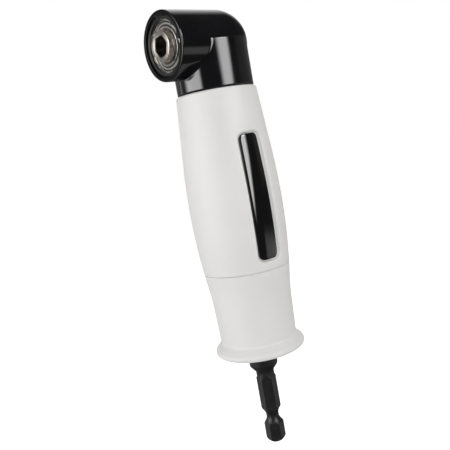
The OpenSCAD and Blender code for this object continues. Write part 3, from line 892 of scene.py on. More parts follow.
def crossing(shape: Field, start: np.ndarray, end: np.ndarray) -> np.ndarray:
    """Points where a field is zero on edges that it changes sign along.

    Args:
        shape: The field.
        start: Where each edge starts.
        end: Where each edge ends.

    Returns:
        The point on each edge.
    """
    low, high = shape(*start.T), shape(*end.T)
    for _ in range(CROSSING_ROUNDS):
        gap = np.where(low == high, 1.0, low - high)
        share = np.clip(low/gap, EDGE_MARGIN, 1 - EDGE_MARGIN)[:, None]
        middle = start + (end - start)*share
        value = shape(*middle.T)
        first = (value < 0) == (low < 0)
        start, low = np.where(first[:, None], middle, start), np.where(first, value, low)
        end, high = np.where(first[:, None], end, middle), np.where(first, high, value)
    return np.where((np.abs(low) < np.abs(high))[:, None], start, end)


class CellFits:
    """Sums that place a vertex in each cell where the cell's tangent planes meet."""

    def __init__(self, count: int) -> None:
        """Starts the sums.

        Args:
            count: Number of cells.
        """
        self.count = count
        self.hits = np.zeros(count)
        self.middle = np.zeros((count, 3))
        self.square = np.zeros((count, 3, 3))
        self.right = np.zeros((count, 3))

    def put(self, cells: np.ndarray, points: np.ndarray, ways: np.ndarray) -> None:
        """Adds tangent planes to their cells.

        Args:
            cells: Number of the cell that each plane belongs to.
            points: A point on each plane.
            ways: The normal of each plane.
        """
        self.hits += np.bincount(cells, minlength=self.count)
        offset = (points*ways).sum(1)
        for k in range(3):
            self.middle[:, k] += np.bincount(cells, points[:, k], self.count)
            self.right[:, k] += np.bincount(cells, ways[:, k]*offset, self.count)
            for m in range(3):
                self.square[:, k, m] += np.bincount(cells, ways[:, k]*ways[:, m], self.count)

    def solve(self, reach: float) -> np.ndarray:
        """Places the vertices.

        Args:
            reach: How far a vertex may lie from its cell's middle point.

        Returns:
            The place of each cell's vertex.
        """
        middle = self.middle/self.hits[:, None]
        pull = MIDDLE_PULL*self.hits[:, None, None]*np.eye(3)
        right = self.right - np.einsum("nij,nj->ni", self.square, middle)
        move = np.linalg.solve(self.square + pull, right[:, :, None])[:, :, 0]
        return middle + np.clip(move, -reach, reach)


def numbered_cells(inside: np.ndarray) -> tuple[np.ndarray, int]:
    """Numbers the cells of a grid that its surface passes through.

    Args:
        inside: Whether each grid point lies in the solid.

    Returns:
        The number of each cell, or -1, and how many cells have one.
    """
    count = np.zeros([n - 1 for n in inside.shape], np.int8)
    for corner in np.ndindex(2, 2, 2):
        count += inside[tuple(slice(c, c - 1 or None) for c in corner)]
    crossed = (count > 0) & (count < 8)
    number = np.full(crossed.shape, -1)
    total = int(crossed.sum())
    number[crossed] = np.arange(total)
    return number, total


def crossed_edges(inside: np.ndarray, number: np.ndarray,
                  along: int) -> tuple[np.ndarray, np.ndarray, np.ndarray]:
    """Finds the grid edges along one direction that the surface crosses.

    Args:
        inside: Whether each grid point lies in the solid.
        number: The number of each cell.
        along: The direction of the edges, 0 to 2.

    Returns:
        The grid point that each edge starts from, the numbers of the four cells round
        it, and whether it leaves the solid, so that these cells make an outward face.
    """
    b, c = (along + 1) % 3, (along + 2) % 3
    here, there = [slice(1, -1)]*3, [slice(1, -1)]*3
    here[along], there[along] = slice(None, -1), slice(1, None)
    start, end = inside[tuple(here)], inside[tuple(there)]
    base = np.argwhere(start != end)
    leaving = start[start != end]
    base[:, b] += 1
    base[:, c] += 1
    corners = []
    for back_b, back_c in ((1, 1), (0, 1), (0, 0), (1, 0)):
        at = base.copy()
        at[:, b] -= back_b
        at[:, c] -= back_c
        corners.append(number[tuple(at.T)])
    return base, np.stack(corners, axis=1), leaving


def corner_normals(shape: Field, points: np.ndarray, quads: np.ndarray) -> np.ndarray:
    """Normals of the faces' corners, smooth but for the sharp edges of a field.

    Args:
        shape: The field.
        points: The vertices.
        quads: The four vertices of each face.

    Returns:
        A normal for each corner of each face, in the order of the faces.
    """
    middle = points[quads].mean(axis=1)
    own = unit(slope_of(shape, points))[quads]
    facing = unit(slope_of(shape, middle))
    near = (1 - NEAR_SHARE)*points[quads] + NEAR_SHARE*middle[:, None]
    beside = unit(slope_of(shape, near.reshape(-1, 3))).reshape(own.shape)
    flat = (beside*facing[:, None]).sum(2) > math.cos(math.radians(FLAT_BEND))
    crease = (own*facing[:, None]).sum(2) < math.cos(math.radians(CREASE_BEND))
    return np.where((flat & crease)[:, :, None], facing[:, None], own).reshape(-1, 3)


def mesh_of_field(name: str, shape: Field, low: Sequence[float], high: Sequence[float],
                  cell: float, finish: Finish, axis: Axis = Axis.HANDLE) -> bpy.types.Object:
    """Meshes the surface of a distance field, with its sharp edges kept.

    Each grid edge that the surface crosses gives one face, and each cell that it
    passes through one vertex.

    Args:
        name: The piece's name.
        shape: The field in mm, negative inside.
        low: Lowest corner of the grid.
        high: Highest corner of the grid.
        cell: Size of a cell.
        finish: The piece's finish.
        axis: The axis that the field is laid out along.

    Returns:
        The new object.
    """
    ticks = [np.arange(a, b + cell, cell) for a, b in zip(low, high)]
    inside = shape(*np.meshgrid(*ticks, indexing="ij", sparse=True)) < 0
    number, total = numbered_cells(inside)
    fits = CellFits(total)
    faces = []
    for along in range(3):
        base, quads, leaving = crossed_edges(inside, number, along)
        first = np.array(low) + base*cell
        points = crossing(shape, first, first + cell*np.eye(3)[along])
        ways = unit(slope_of(shape, points))
        for cells in quads.T:
            fits.put(cells, points, ways)
        quads[~leaving] = quads[~leaving][:, ::-1]
        faces.append(quads)
    quads = np.concatenate(faces)
    points = fits.solve(CELL_REACH*cell)
    return finish_mesh(name, points, quads, finish, corner_normals(shape, points, quads), axis)


# Sub-assemblies

@dataclass(frozen=True)
class Head:
    """The black cast head: a barrel with a rounded rear on an upright neck, in mm."""

    barrel_r: float = 11.4
    reach: float = 18.7
    dome_offset: float = 2.9
    rim_edge: float = 0.4
    mouth_r: float = 9.5
    mouth_start: float = 14.4
    mouth_flare: float = 0.55
    mouth_edge_r: float = 10.05
    neck_r: float = 13.35
    neck_height: float = 16.2
    shoulder_drop: float = 0.2
    foot_chamfer: float = 0.6
    spigot_r: float = 11.0
    spigot_length: float = 18.0
    bearing_back: float = 12.2
    clip_back: float = 17.2
    clip_front: float = 18.0
    clip_groove_r: float = 10.0
    cavity_r: float = 8.9
    cavity_back: float = -4.5
    bush_r: float = 5.5
    bush_back: float = -9.5
    neck_bore_r: float = 9.5
    neck_bore_top: float = -11.6
    hub_hole_r: float = 7.3
    fillet: float = 0.3
    shoulder_round: float = 0.3
    foot_round: float = 0.1
    bore_round: float = 0.05
    cell: float = 0.2
    mouth_columns: int = 180

    def outside(self, x: np.ndarray, y: np.ndarray, z: np.ndarray) -> np.ndarray:
        """Distance to the outer skin.

        Args:
            x: Sideways from the crossing of the two axes, in mm.
            y: Backwards from it.
            z: Upwards from it.

        Returns:
            The distances in mm, negative inside.
        """
        ahead = -y
        round_r = np.sqrt(x**2 + z**2)
        ball = np.sqrt(x**2 + z**2 + (ahead + self.dome_offset)**2)
        barrel = np.where(ahead < -self.dome_offset, ball, round_r) - self.barrel_r
        barrel = np.maximum(barrel, ahead - self.mouth_start + 0*x)
        upright = np.sqrt(x**2 + y**2)
        neck = round_cut(upright - self.neck_r + 0*z, z + self.shoulder_drop + 0*x,
                         self.shoulder_round)
        foot = (upright - self.neck_r - z - self.neck_height + self.foot_chamfer)*math.sqrt(0.5)
        neck = round_cut(neck, foot, self.foot_round)
        neck = round_cut(neck, -z - self.neck_height + 0*x, self.foot_round)
        return round_union(barrel, neck, self.fillet)

    def hollow(self, x: np.ndarray, y: np.ndarray, z: np.ndarray) -> np.ndarray:
        """Distance to the bores, which overlap by a millimetre where they meet.

        Args:
            x: Sideways from the crossing of the two axes, in mm.
            y: Backwards from it.
            z: Upwards from it.

        Returns:
            The distances in mm, negative in a bore.
        """
        ahead = -y
        round_r = np.sqrt(x**2 + z**2)
        upright = np.sqrt(x**2 + y**2)
        mouth = np.maximum(round_r - self.mouth_r, self.bearing_back - ahead)
        cavity = np.maximum(round_r - self.cavity_r, self.cavity_back - ahead)
        cavity = np.maximum(cavity, ahead - self.bearing_back - 1)
        bush = np.maximum(round_r - self.bush_r, self.bush_back - ahead)
        bush = np.maximum(bush, ahead - self.bearing_back)
        neck = np.maximum(upright - self.neck_bore_r, z - self.neck_bore_top)
        hub = np.maximum(upright - self.hub_hole_r, np.maximum(z, self.neck_bore_top - 1 - z))
        hollow = mouth
        for bore in (cavity, bush, neck, hub):
            hollow = np.minimum(hollow, bore)
        return hollow

    def shape(self, x: np.ndarray, y: np.ndarray, z: np.ndarray) -> np.ndarray:
        """Distance to the casting's surface, in mm along the handle's axis."""
        high = z - OUTPUT_PLACE.z/MM
        return round_cut(self.outside(x, y, high), -self.hollow(x, y, high), self.bore_round)

    def turned_ends(self) -> None:
        """Makes the turned mouth of the barrel, and the spigot below the neck."""
        ring = rounded([
            (self.mouth_r, self.mouth_start, 0.0), (self.barrel_r, self.mouth_start, 0.0),
            (self.barrel_r, self.reach, self.rim_edge),
            (self.mouth_edge_r, self.reach, 0.2),
            (self.mouth_r, self.reach - self.mouth_flare, 0.08),
            (self.mouth_r, self.clip_front, 0.04), (self.clip_groove_r, self.clip_front, 0.08),
            (self.clip_groove_r, self.clip_back, 0.08), (self.mouth_r, self.clip_back, 0.04),
        ])
        mouth = revolve("head_mouth", ring, HEAD_BLACK_MOUTH, Axis.OUTPUT, self.mouth_columns)
        # The rim's end faces and the inside of the mouth take the darker copy, which paints shade
        # on them
        repaint(mouth, SHADED_MOUTH_BLACK,
                lambda at, way: abs(way.y) > FACING_SHARE or at.xz.length < self.mouth_edge_r)
        dress(mouth, Body.HOUSING, HEAD_BLACK)
        top = OUTPUT_PLACE.z/MM - self.neck_height
        foot = top - self.spigot_length
        tube = [(self.neck_bore_r, foot, 0.3), (self.spigot_r, foot, 0.5),
                (self.spigot_r, top, 0.0), (self.neck_bore_r, top, 0.0)]
        turned_piece("head_spigot", tube, Body.HOUSING, HEAD_BLACK, axis=Axis.HANDLE)

    def build(self) -> None:
        """Makes the casting and its turned ends."""
        top = OUTPUT_PLACE.z/MM
        margin = 2.5*self.cell
        side = self.neck_r + margin
        foot = top - self.neck_height - margin
        piece = mesh_of_field(
            "head_casting", self.shape, (-side, -self.mouth_start - margin, foot),
            (side, self.dome_offset + self.barrel_r + margin, top + self.barrel_r + margin),
            self.cell, HEAD_BLACK,
        )
        dress(piece, Body.HOUSING, HEAD_BLACK, "head_housing")
        self.turned_ends()


@dataclass(frozen=True)
class HandleOutline:
    """The handle's outline: belly, waist and flange, in mm above the shank's end."""

    guard_z: float = 36.4
    seam_z: float = 66.9
    collar_z: float = 129.6
    belly_r: float = 16.65
    belly_z: float = 87.9
    upper_arc: float = 230.0
    upper_taper: float = 4.5
    lower_arc: float = 200.0
    lower_taper: float = 7.4
    waist_arc: float = 90.0
    waist_taper: float = 2.0
    tube_r: float = 12.0

    def radius(self, z: np.ndarray) -> np.ndarray:
        """Radius of the handle.

        Args:
            z: Heights between the flange and the head, in mm.

        Returns:
            The radii in mm.
        """
        z = np.asarray(z, float)
        up, down = math.radians(self.upper_taper), math.radians(self.lower_taper)
        waist = math.radians(self.waist_taper)
        upper_end = self.belly_z + self.upper_arc*math.sin(up)
        lower_end = self.belly_z - self.lower_arc*math.sin(down)
        waist_end = lower_end - self.waist_arc*(math.sin(down) - math.sin(waist))
        lower_r = self.belly_r - self.lower_arc*(1 - math.cos(down))
        waist_r = lower_r - self.waist_arc*(math.cos(waist) - math.cos(down))

        def sag(drop: np.ndarray, arc: float) -> np.ndarray:
            """How far an arc falls away over a distance along it."""
            return arc - np.sqrt(arc**2 - np.clip(drop, 0, ARC_SHARE*arc)**2)

        above = self.belly_r - sag(z - self.belly_z, self.upper_arc)
        upper_r = self.belly_r - self.upper_arc*(1 - math.cos(up))
        straight = upper_r - (z - upper_end)*math.tan(up)
        upper = np.where(z > upper_end, straight, above)
        below = self.belly_r - sag(self.belly_z - z, self.lower_arc)
        inner = self.waist_arc*math.sin(waist) + z - waist_end
        hollow = waist_r + self.waist_arc*math.cos(waist) - np.sqrt(
            self.waist_arc**2 - np.clip(inner, 0, ARC_SHARE*self.waist_arc)**2)
        foot = waist_r - (waist_end - z)*math.tan(waist)
        lower = np.where(z > lower_end, below, np.where(z > waist_end, hollow, foot))
        return np.where(z > self.belly_z, upper, lower)


OUTLINE = HandleOutline()


@dataclass(frozen=True)
class PanelPlace:
    """The rounded oblong that the panel fills on the grip, in mm and degrees."""

    turn: float = -5.4
    middle_z: float = 92.2
    length: float = 43.0
    width: float = 8.6
    corner: float = 2.2

    def edge_distance(self, across: np.ndarray, up: np.ndarray) -> np.ndarray:
        """Signed distance from the panel's edge.

        Args:
            across: Distances across the panel from its middle line, in mm.
            up: Distances along the panel from its middle.

        Returns:
            The distances in mm, negative on the panel.
        """
        x = np.abs(across) - (self.width/2 - self.corner)
        y = np.abs(up) - (self.length/2 - self.corner)
        outside = np.sqrt(np.maximum(x, 0)**2 + np.maximum(y, 0)**2)
        return outside + np.minimum(np.maximum(x, y), 0) - self.corner


PANEL = PanelPlace()


def between(pair: tuple[float, float], share: np.ndarray) -> np.ndarray:
    """Values from the first of a pair to the second by a share from 0 to 1."""
    return pair[0] + (pair[1] - pair[0])*share


@dataclass(frozen=True)
class Grip:
    """The moulded grip with the pocket for the panel, in mm.

    The pairs hold the pocket's measures on its narrow side and on its broad one. Its
    foot is broader too: foot_share is how much, and it fades out over foot_run.
    """

    seam_chamfer: float = 0.3
    seam_round: float = 0.1
    seam_ledge: float = 1.6
    top_round: float = 0.7
    top_steps: int = 6
    top_ledge: float = 0.4
    pocket_depth: float = 1.0
    floor_width: tuple[float, float] = (0.12, 0.4)
    wall_width: float = 0.28
    lip_width: tuple[float, float] = (0.3, 1.15)
    lip_depth: tuple[float, float] = (0.08, 0.34)
    foot_start: float = 1.2
    foot_run: float = 3.0
    foot_share: float = 0.6
    fine_margin: float = 2.4
    fine_ends: float = 3.2
    side_angle: float = 1.2

    def pocket(self, distance: np.ndarray, across: np.ndarray, up: np.ndarray) -> np.ndarray:
        """Depth of the pocket, whose lip is narrow on one side and broad elsewhere.

        Args:
            distance: Distances from the panel's edge.
            across: Distances across the panel from its middle line.
            up: Distances along the panel from its middle.

        Returns:
            The depths in mm.
        """
        foot = np.clip(self.foot_start - (up + PANEL.length/2)/self.foot_run, 0, 1)
        broad = np.clip(0.5 + across/PANEL.width + self.foot_share*foot, 0, 1)
        lip_width, lip_depth = between(self.lip_width, broad), between(self.lip_depth, broad)
        wall_end = between(self.floor_width, broad) + self.wall_width
        wall = np.clip((wall_end - distance)/self.wall_width, 0, 1)
        lip = np.clip((wall_end + lip_width - distance)/lip_width, 0, 1)
        wall = wall*wall*(3 - 2*wall)
        return (self.pocket_depth - lip_depth)*wall + lip_depth*lip*lip

    def heights(self) -> np.ndarray:
        """Heights of the mesh's rows on the outside, closer together at the pocket.

        Returns:
            The heights in mm.
        """
        start = PANEL.middle_z - PANEL.length/2 - self.fine_margin
        end = PANEL.middle_z + PANEL.length/2 + self.fine_margin
        stops = (OUTLINE.seam_z + self.seam_chamfer, start, start + self.fine_ends,
                 end - self.fine_ends, end)
        parts = [np.linspace(low, top, count, endpoint=False)
                 for low, top, count in zip(stops, stops[1:], (8, 22, 50, 22))]
        return np.concatenate([*parts, np.linspace(end, OUTLINE.collar_z - self.top_round, 20)])

    def angles(self) -> np.ndarray:
        """Directions of the mesh's columns, closer together at the pocket.

        Returns:
            The directions in radians, once round.
        """
        middle = math.radians(PANEL.turn)
        half = (PANEL.width/2 + self.fine_margin)/OUTLINE.belly_r
        near = np.linspace(middle - half, middle + half, 120)
        rest = np.linspace(middle + half, middle - half + 2*math.pi, 132)[1:-1]
        return np.concatenate([near, rest])

    def rows(self) -> np.ndarray:
        """Radius and height of each row of the mesh, without the pocket.

        Returns:
            The rows, from the tube at the seam up the outside to the tube again.
        """
        seam, top = OUTLINE.seam_z, OUTLINE.collar_z
        rim = top - self.top_round
        rim_r, seam_r = float(OUTLINE.radius(rim)), float(OUTLINE.radius(seam))
        edge_r = seam_r - self.seam_chamfer
        rows = [(OUTLINE.tube_r, seam), (seam_r - self.seam_ledge, seam),
                (edge_r - self.seam_round, seam), (edge_r, seam + 0.3*self.seam_round),
                (seam_r - self.seam_round, seam + self.seam_chamfer - self.seam_round)]
        rows += [(float(OUTLINE.radius(z)), z) for z in self.heights()]
        for step in range(1, self.top_steps + 1):
            a = QUARTER*step/self.top_steps
            rows.append((rim_r - self.top_round*(1 - math.cos(a)),
                         rim + self.top_round*math.sin(a)))
        return np.array([*rows, (rim_r - self.top_round - self.top_ledge, top),
                         (OUTLINE.tube_r, top)])

    def build(self) -> None:
        """Makes the grip."""
        angle, rows = self.angles(), self.rows()
        radius, up = rows[:, :1], rows[:, 1:]
        across = np.remainder(angle[None] - math.radians(PANEL.turn) + math.pi, 2*math.pi) - math.pi
        far = np.abs(across) > self.side_angle
        beside = radius*np.sin(np.where(far, 0, across))
        along = up - PANEL.middle_z
        sunk = self.pocket(PANEL.edge_distance(beside, along), beside, along)
        outer = (up > OUTLINE.seam_z + self.seam_chamfer/2) & (up < OUTLINE.collar_z - 0.01)
        reach = radius - np.where(far | ~outer, 0, sunk)
        high = np.broadcast_to(up, reach.shape)
        verts = np.stack([reach*np.cos(angle), reach*np.sin(angle), high], axis=2)
        faces = ring_faces(len(rows), len(angle), True)
        piece = finish_mesh("grip_shell", verts.reshape(-1, 3), faces, GRIP_GREY)
        dress(piece, Body.HOUSING, GRIP_GREY, "grip_sleeve")


@dataclass(frozen=True)
class PanelLens:
    """The glossy domed panel in the grip's pocket, in mm.

    Its edge rolls off over a width that goes from the first value of roll_width on one
    side to the second on the other.
    """

    edge_depth: float = 0.56
    crown: float = 0.27
    lean: float = 0.045
    roll_width: tuple[float, float] = (0.85, 0.45)
    roll_depth: float = 0.3
    thickness: float = 0.5
    inset: float = 0.05
    columns: int = 41
    end_rows: int = 14
    rows: int = 90

    def surface(self, across: np.ndarray, up: np.ndarray) -> np.ndarray:
        """Points of the lens's face.

        Args:
            across: Distances across the panel from its middle line.
            up: Distances along the panel from its middle.

        Returns:
            The points, with their coordinates last.
        """
        roll_width = between(self.roll_width, np.clip(0.5 + across/PANEL.width, 0, 1))
        edge = np.clip(1 + PANEL.edge_distance(across, up)/roll_width, 0, 1)
        rolled = 1 - np.sqrt(1 - edge**2*STEEPEST)
        crown = self.crown*(1 - (across/(PANEL.width/2))**4)
        sunk = self.edge_depth + self.roll_depth*rolled + self.lean*across
        radius = OUTLINE.radius(PANEL.middle_z + up) - sunk + crown
        angle = math.radians(PANEL.turn) + np.arcsin(across/OUTLINE.belly_r)
        return np.stack([radius*np.cos(angle), radius*np.sin(angle), PANEL.middle_z + up], axis=-1)

    def build(self) -> None:
        """Makes the lens: its face, its wall and its back."""
        corner = PANEL.corner - self.inset
        half_l, half_w = PANEL.length/2 - self.inset, PANEL.width/2 - self.inset
        turns = np.linspace(-QUARTER, 0, self.end_rows)
        low = -half_l + corner*(1 + np.sin(turns))
        up = np.concatenate([low, np.linspace(low[-1], -low[-1], self.rows)[1:-1], -low[::-1]])
        in_corner = np.maximum(np.abs(up) - (half_l - corner), 0)
        wide = half_w - corner + np.sqrt(np.maximum(corner**2 - in_corner**2, 0))
        spread = np.sin(np.linspace(-QUARTER, QUARTER, self.columns))
        across = wide[:, None]*spread[None]
        along = np.broadcast_to(up[:, None], across.shape)
        face = self.surface(across, along)
        reach = SLOPE_REACH
        normals = unit(np.cross(
            self.surface(across + reach, along) - self.surface(across - reach, along),
            self.surface(across, along + reach) - self.surface(across, along - reach),
        ))
        count, wide_count = len(up), self.columns
        top = face.reshape(-1, 3)
        turn = math.radians(PANEL.turn)
        way = np.array([math.cos(turn), math.sin(turn), 0])
        faces: list[Sequence[int]] = []
        for i in range(count - 1):
            for k in range(wide_count - 1):
                a = i*wide_count + k
                faces.append((a, a + 1, a + wide_count + 1, a + wide_count))
        rim = [i*wide_count for i in range(count - 1, 0, -1)] + list(range(wide_count - 1))
        rim += [i*wide_count + wide_count - 1 for i in range(count - 1)]
        rim += [(count - 1)*wide_count + k for k in range(wide_count - 1, 0, -1)]
        foot = top[rim] - way*self.thickness
        under = [len(top) + k for k in range(len(rim))]
        around = zip(rim, rim[1:] + rim[:1], under, under[1:] + under[:1])
        faces += [(b, a, c, d) for a, b, c, d in around]
        faces.append(under)
        exact = np.concatenate([normals.reshape(-1, 3), np.broadcast_to(-way, foot.shape)])
        points = np.concatenate([top, foot])
        piece = finish_mesh("panel_lens", points, faces, PANEL_BLACK, exact)
        dress(piece, Body.HOUSING, PANEL_BLACK, "panel_inlay")


@dataclass(frozen=True)
class Guard:
    """The lower part of the handle with its flange, in mm and degrees."""

    seam_chamfer: float = 0.3
    seam_bevel: tuple[float, float] = (0.12, 0.08)
    flange_top: float = 41.35
    fillet_r: float = 1.3
    slope: float = 44.0
    slope_run: float = 2.4
    flange_reach: float = 2.5
    lower_r: float = 1.15
    lower_angle: float = 80.0
    underside_r: float = 12.0
    underside_depth: float = 0.8
    seal_r: float = 8.0
    tail_z: float = 41.0
    waist_rows: int = 40
    fillet_rows: int = 10
    bead_rows: int = 12
    columns: int = 160

    def profile(self) -> Outline:
        """Outline of the guard.

        Returns:
            The outline, anticlockwise from the tube at the guard's foot.
        """
        top_r = float(OUTLINE.radius(OUTLINE.seam_z))
        down: list[tuple[float, float, float, float]] = []

        def put(r: float, z: float, heading: float) -> None:
            """Adds a point, with the outline's heading inwards from straight down in degrees."""
            a = math.radians(heading)
            down.append((r, z, math.cos(a), -math.sin(a)))

        put(top_r - self.seam_chamfer, OUTLINE.seam_z, -80)
        put(top_r - self.seam_bevel[0], OUTLINE.seam_z - self.seam_bevel[1], -45)
        heights = np.linspace(OUTLINE.seam_z - self.seam_chamfer, self.flange_top,
                              self.waist_rows)
        radii = OUTLINE.radius(heights)
        headings = np.degrees(np.arctan(np.gradient(radii, heights)))
        for r, z, heading in zip(radii, heights, headings):
            put(float(r), float(z), float(heading))

        def arc(radius: float, start: float, end: float, steps: int) -> None:
            """Adds an arc from the last point.

            Args:
                radius: Its radius in mm.
                start: Heading that it starts with, in degrees.
                end: Heading that it ends with.
                steps: Number of points.
            """
            r, z = down[-1][:2]
            way = 1 if end > start else -1
            for step in range(1, steps + 1):
                h = start + (end - start)*step/steps
                a, b = math.radians(h), math.radians(start)
                put(r + way*radius*(math.cos(a) - math.cos(b)),
                    z - way*radius*(math.sin(a) - math.sin(b)), h)

        waist_r = down[-1][0]
        arc(self.fillet_r, OUTLINE.waist_taper, -self.slope, self.fillet_rows)
        a = math.radians(self.slope)
        r, z = down[-1][:2]
        put(r + self.slope_run*math.sin(a), z - self.slope_run*math.cos(a), -self.slope)
        bead = (waist_r + self.flange_reach - down[-1][0])/(1 - math.cos(a))
        arc(bead, -self.slope, 0, self.bead_rows)
        arc(self.lower_r, 0, self.lower_angle, self.bead_rows)
        points = [(r, z) for r, z, _, _ in down][::-1]
        normals = [(x, y) for _, _, x, y in down][::-1]
        foot_r = points[0][0] - self.lower_r/2
        under = OUTLINE.guard_z + self.underside_depth
        inner = rounded([
            (OUTLINE.tube_r, self.tail_z, 0.1), (self.seal_r, self.tail_z, 0.1),
            (self.seal_r, under, 0.25), (self.underside_r, under, 0.2),
            (self.underside_r, OUTLINE.guard_z, 0.25), (foot_r, OUTLINE.guard_z, 0.3),
            (foot_r + 3, OUTLINE.guard_z + 3, 0.0), (OUTLINE.tube_r, OUTLINE.seam_z, 0.1),
        ])
        # The outer points take the place of the last corner but one
        row = CORNER_STEPS + 1
        before, after = slice(None, -2*row), slice(-row, None)
        return Outline(
            np.concatenate([inner.points[before], points, inner.points[after]]),
            np.concatenate([inner.normals[before], normals, inner.normals[after]]),
        )

    def build(self) -> None:
        """Makes the guard."""
        piece = revolve("guard_shell", self.profile(), GRIP_GREY, columns=self.columns)
        dress(piece, Body.HOUSING, GRIP_GREY, "end_guard")


@dataclass(frozen=True)
class TailSeal:
    """The lip seal round the shaft's collar, in mm."""

    rise: float = 1.0
    lip_r: float = 5.27
    shoulder_r: float = 6.6
    body_r: float = 7.95
    thickness: float = 3.0
    lip_depth: float = 1.2

    def build(self) -> None:
        """Makes the seal."""
        foot = OUTLINE.guard_z + self.rise
        top = foot + self.thickness
        ring = [
            (self.lip_r, foot + self.lip_depth, 0.12), (self.shoulder_r, foot, 0.3),
            (self.body_r, foot, 0.25), (self.body_r, top, 0.25),
            (self.shoulder_r, top, 0.3), (self.lip_r, top - self.lip_depth, 0.12),
        ]
        turned_piece("seal_ring", ring, Body.HOUSING, SEAL_RUBBER, "tail_seal", axis=Axis.HANDLE)


@dataclass(frozen=True)
class Shaft:
    """The driven shaft: hexagonal shank, neck, cone and the plain shaft above, in mm.

    The shank's rows start beyond its corners by corner_margin, and the three values of
    end_edge place the rows that round the edge between end face and chamfer.
    """

    hexagon: Hexagon = field(default=Hexagon(6.35, -9.0, 0.22))
    length: float = 25.4
    chamfer: float = 1.3
    groove_z: float = 10.0
    groove_width: float = 6.0
    groove_r: float = 2.3
    neck_r: float = 3.3
    neck_length: float = 2.1
    cone: float = 2.35
    collar_r: float = 5.2
    tail_z: float = 41.0
    shaft_r: float = 4.0
    clip_z: float = 127.4
    clip_width: float = 0.8
    clip_depth: float = 0.5
    shaft_top: float = 134.2
    stub_r: float = 2.0
    stub_top: float = 139.38
    end_flat_r: float = 0.6
    end_edge: tuple[float, float, float] = (0.12, 0.05, 0.06)
    corner_margin: float = 0.05
    groove_margin: float = 0.2
    corner_cut: float = 0.3

    def groove_reach(self, z: float) -> float:
        """Radius that the ball groove leaves.

        Args:
            z: Height above the shank's end in mm.

        Returns:
            The radius in mm.
        """
        corner = self.hexagon.across_flats/2/math.cos(math.pi/6)
        deep = corner - self.groove_r
        arc = ((self.groove_width/2)**2 + deep**2)/2/deep
        return self.groove_r + arc - math.sqrt(max(arc**2 - (z - self.groove_z)**2, 0.0))

    def shank_rows(self) -> list[Row]:
        """Rows of the hexagonal shank.

        Returns:
            The rows, from the end face to the neck.
        """
        wide = self.hexagon.across_flats/2/math.cos(math.pi/6) + self.corner_margin
        rim = wide - self.chamfer
        flat_in, edge_in, edge_out = self.end_edge
        half = self.groove_width/2
        start = self.groove_z - half - self.groove_margin
        end = self.groove_z + half + self.groove_margin
        top = self.length - (wide - self.neck_r)

        def run(first: tuple[float, float], last: tuple[float, float], count: int) -> list[Row]:
            """Rows on a straight line of the hexagon."""
            return steps_between(first, last, count, Hex.SHANK)

        return [
            (0.0, 0.0, Hex.SHANK), *run((self.end_flat_r, 0), (rim - flat_in, 0), 5),
            (rim - edge_in, 0.01, Hex.SHANK),
            *run((rim + edge_out, edge_out), (wide, self.chamfer), 16),
            *run((wide, self.chamfer), (wide, start), 14),
            *((min(wide, self.groove_reach(z)), z, Hex.SHANK)
              for z in np.linspace(start, end, 54).tolist()),
            *run((wide, end + self.groove_margin), (wide, top), 14),
            *run((wide, top), (self.neck_r, self.length), 10),
        ]

    def rows(self) -> list[Row]:
        """Rows of the whole shaft.

        Returns:
            The rows, from the shank's end face to the stub under the pinion.
        """
        cone_z = self.length + self.neck_length
        clip_r, clip_top = self.shaft_r - self.clip_depth, self.clip_z + self.clip_width
        plain = [
            (self.neck_r, self.length), (self.neck_r, cone_z),
            (self.collar_r, cone_z + self.cone), (self.collar_r, self.tail_z),
            (self.shaft_r, self.tail_z), (self.shaft_r, self.clip_z),
            (clip_r, self.clip_z), (clip_r, clip_top), (self.shaft_r, clip_top),
            (self.shaft_r, self.shaft_top), (self.stub_r, self.shaft_top),
            (self.stub_r, self.stub_top), (0.0, self.stub_top),
        ]
        return self.shank_rows() + eased(plain, self.corner_cut)

    def build(self) -> None:
        """Makes the shaft."""
        piece = turn_hexagonal("shaft_turned", self.rows(), self.hexagon, SHAFT_BLACK,
                               Axis.HANDLE)
        dress(piece, Body.INPUT, SHAFT_BLACK, "drive_shaft")


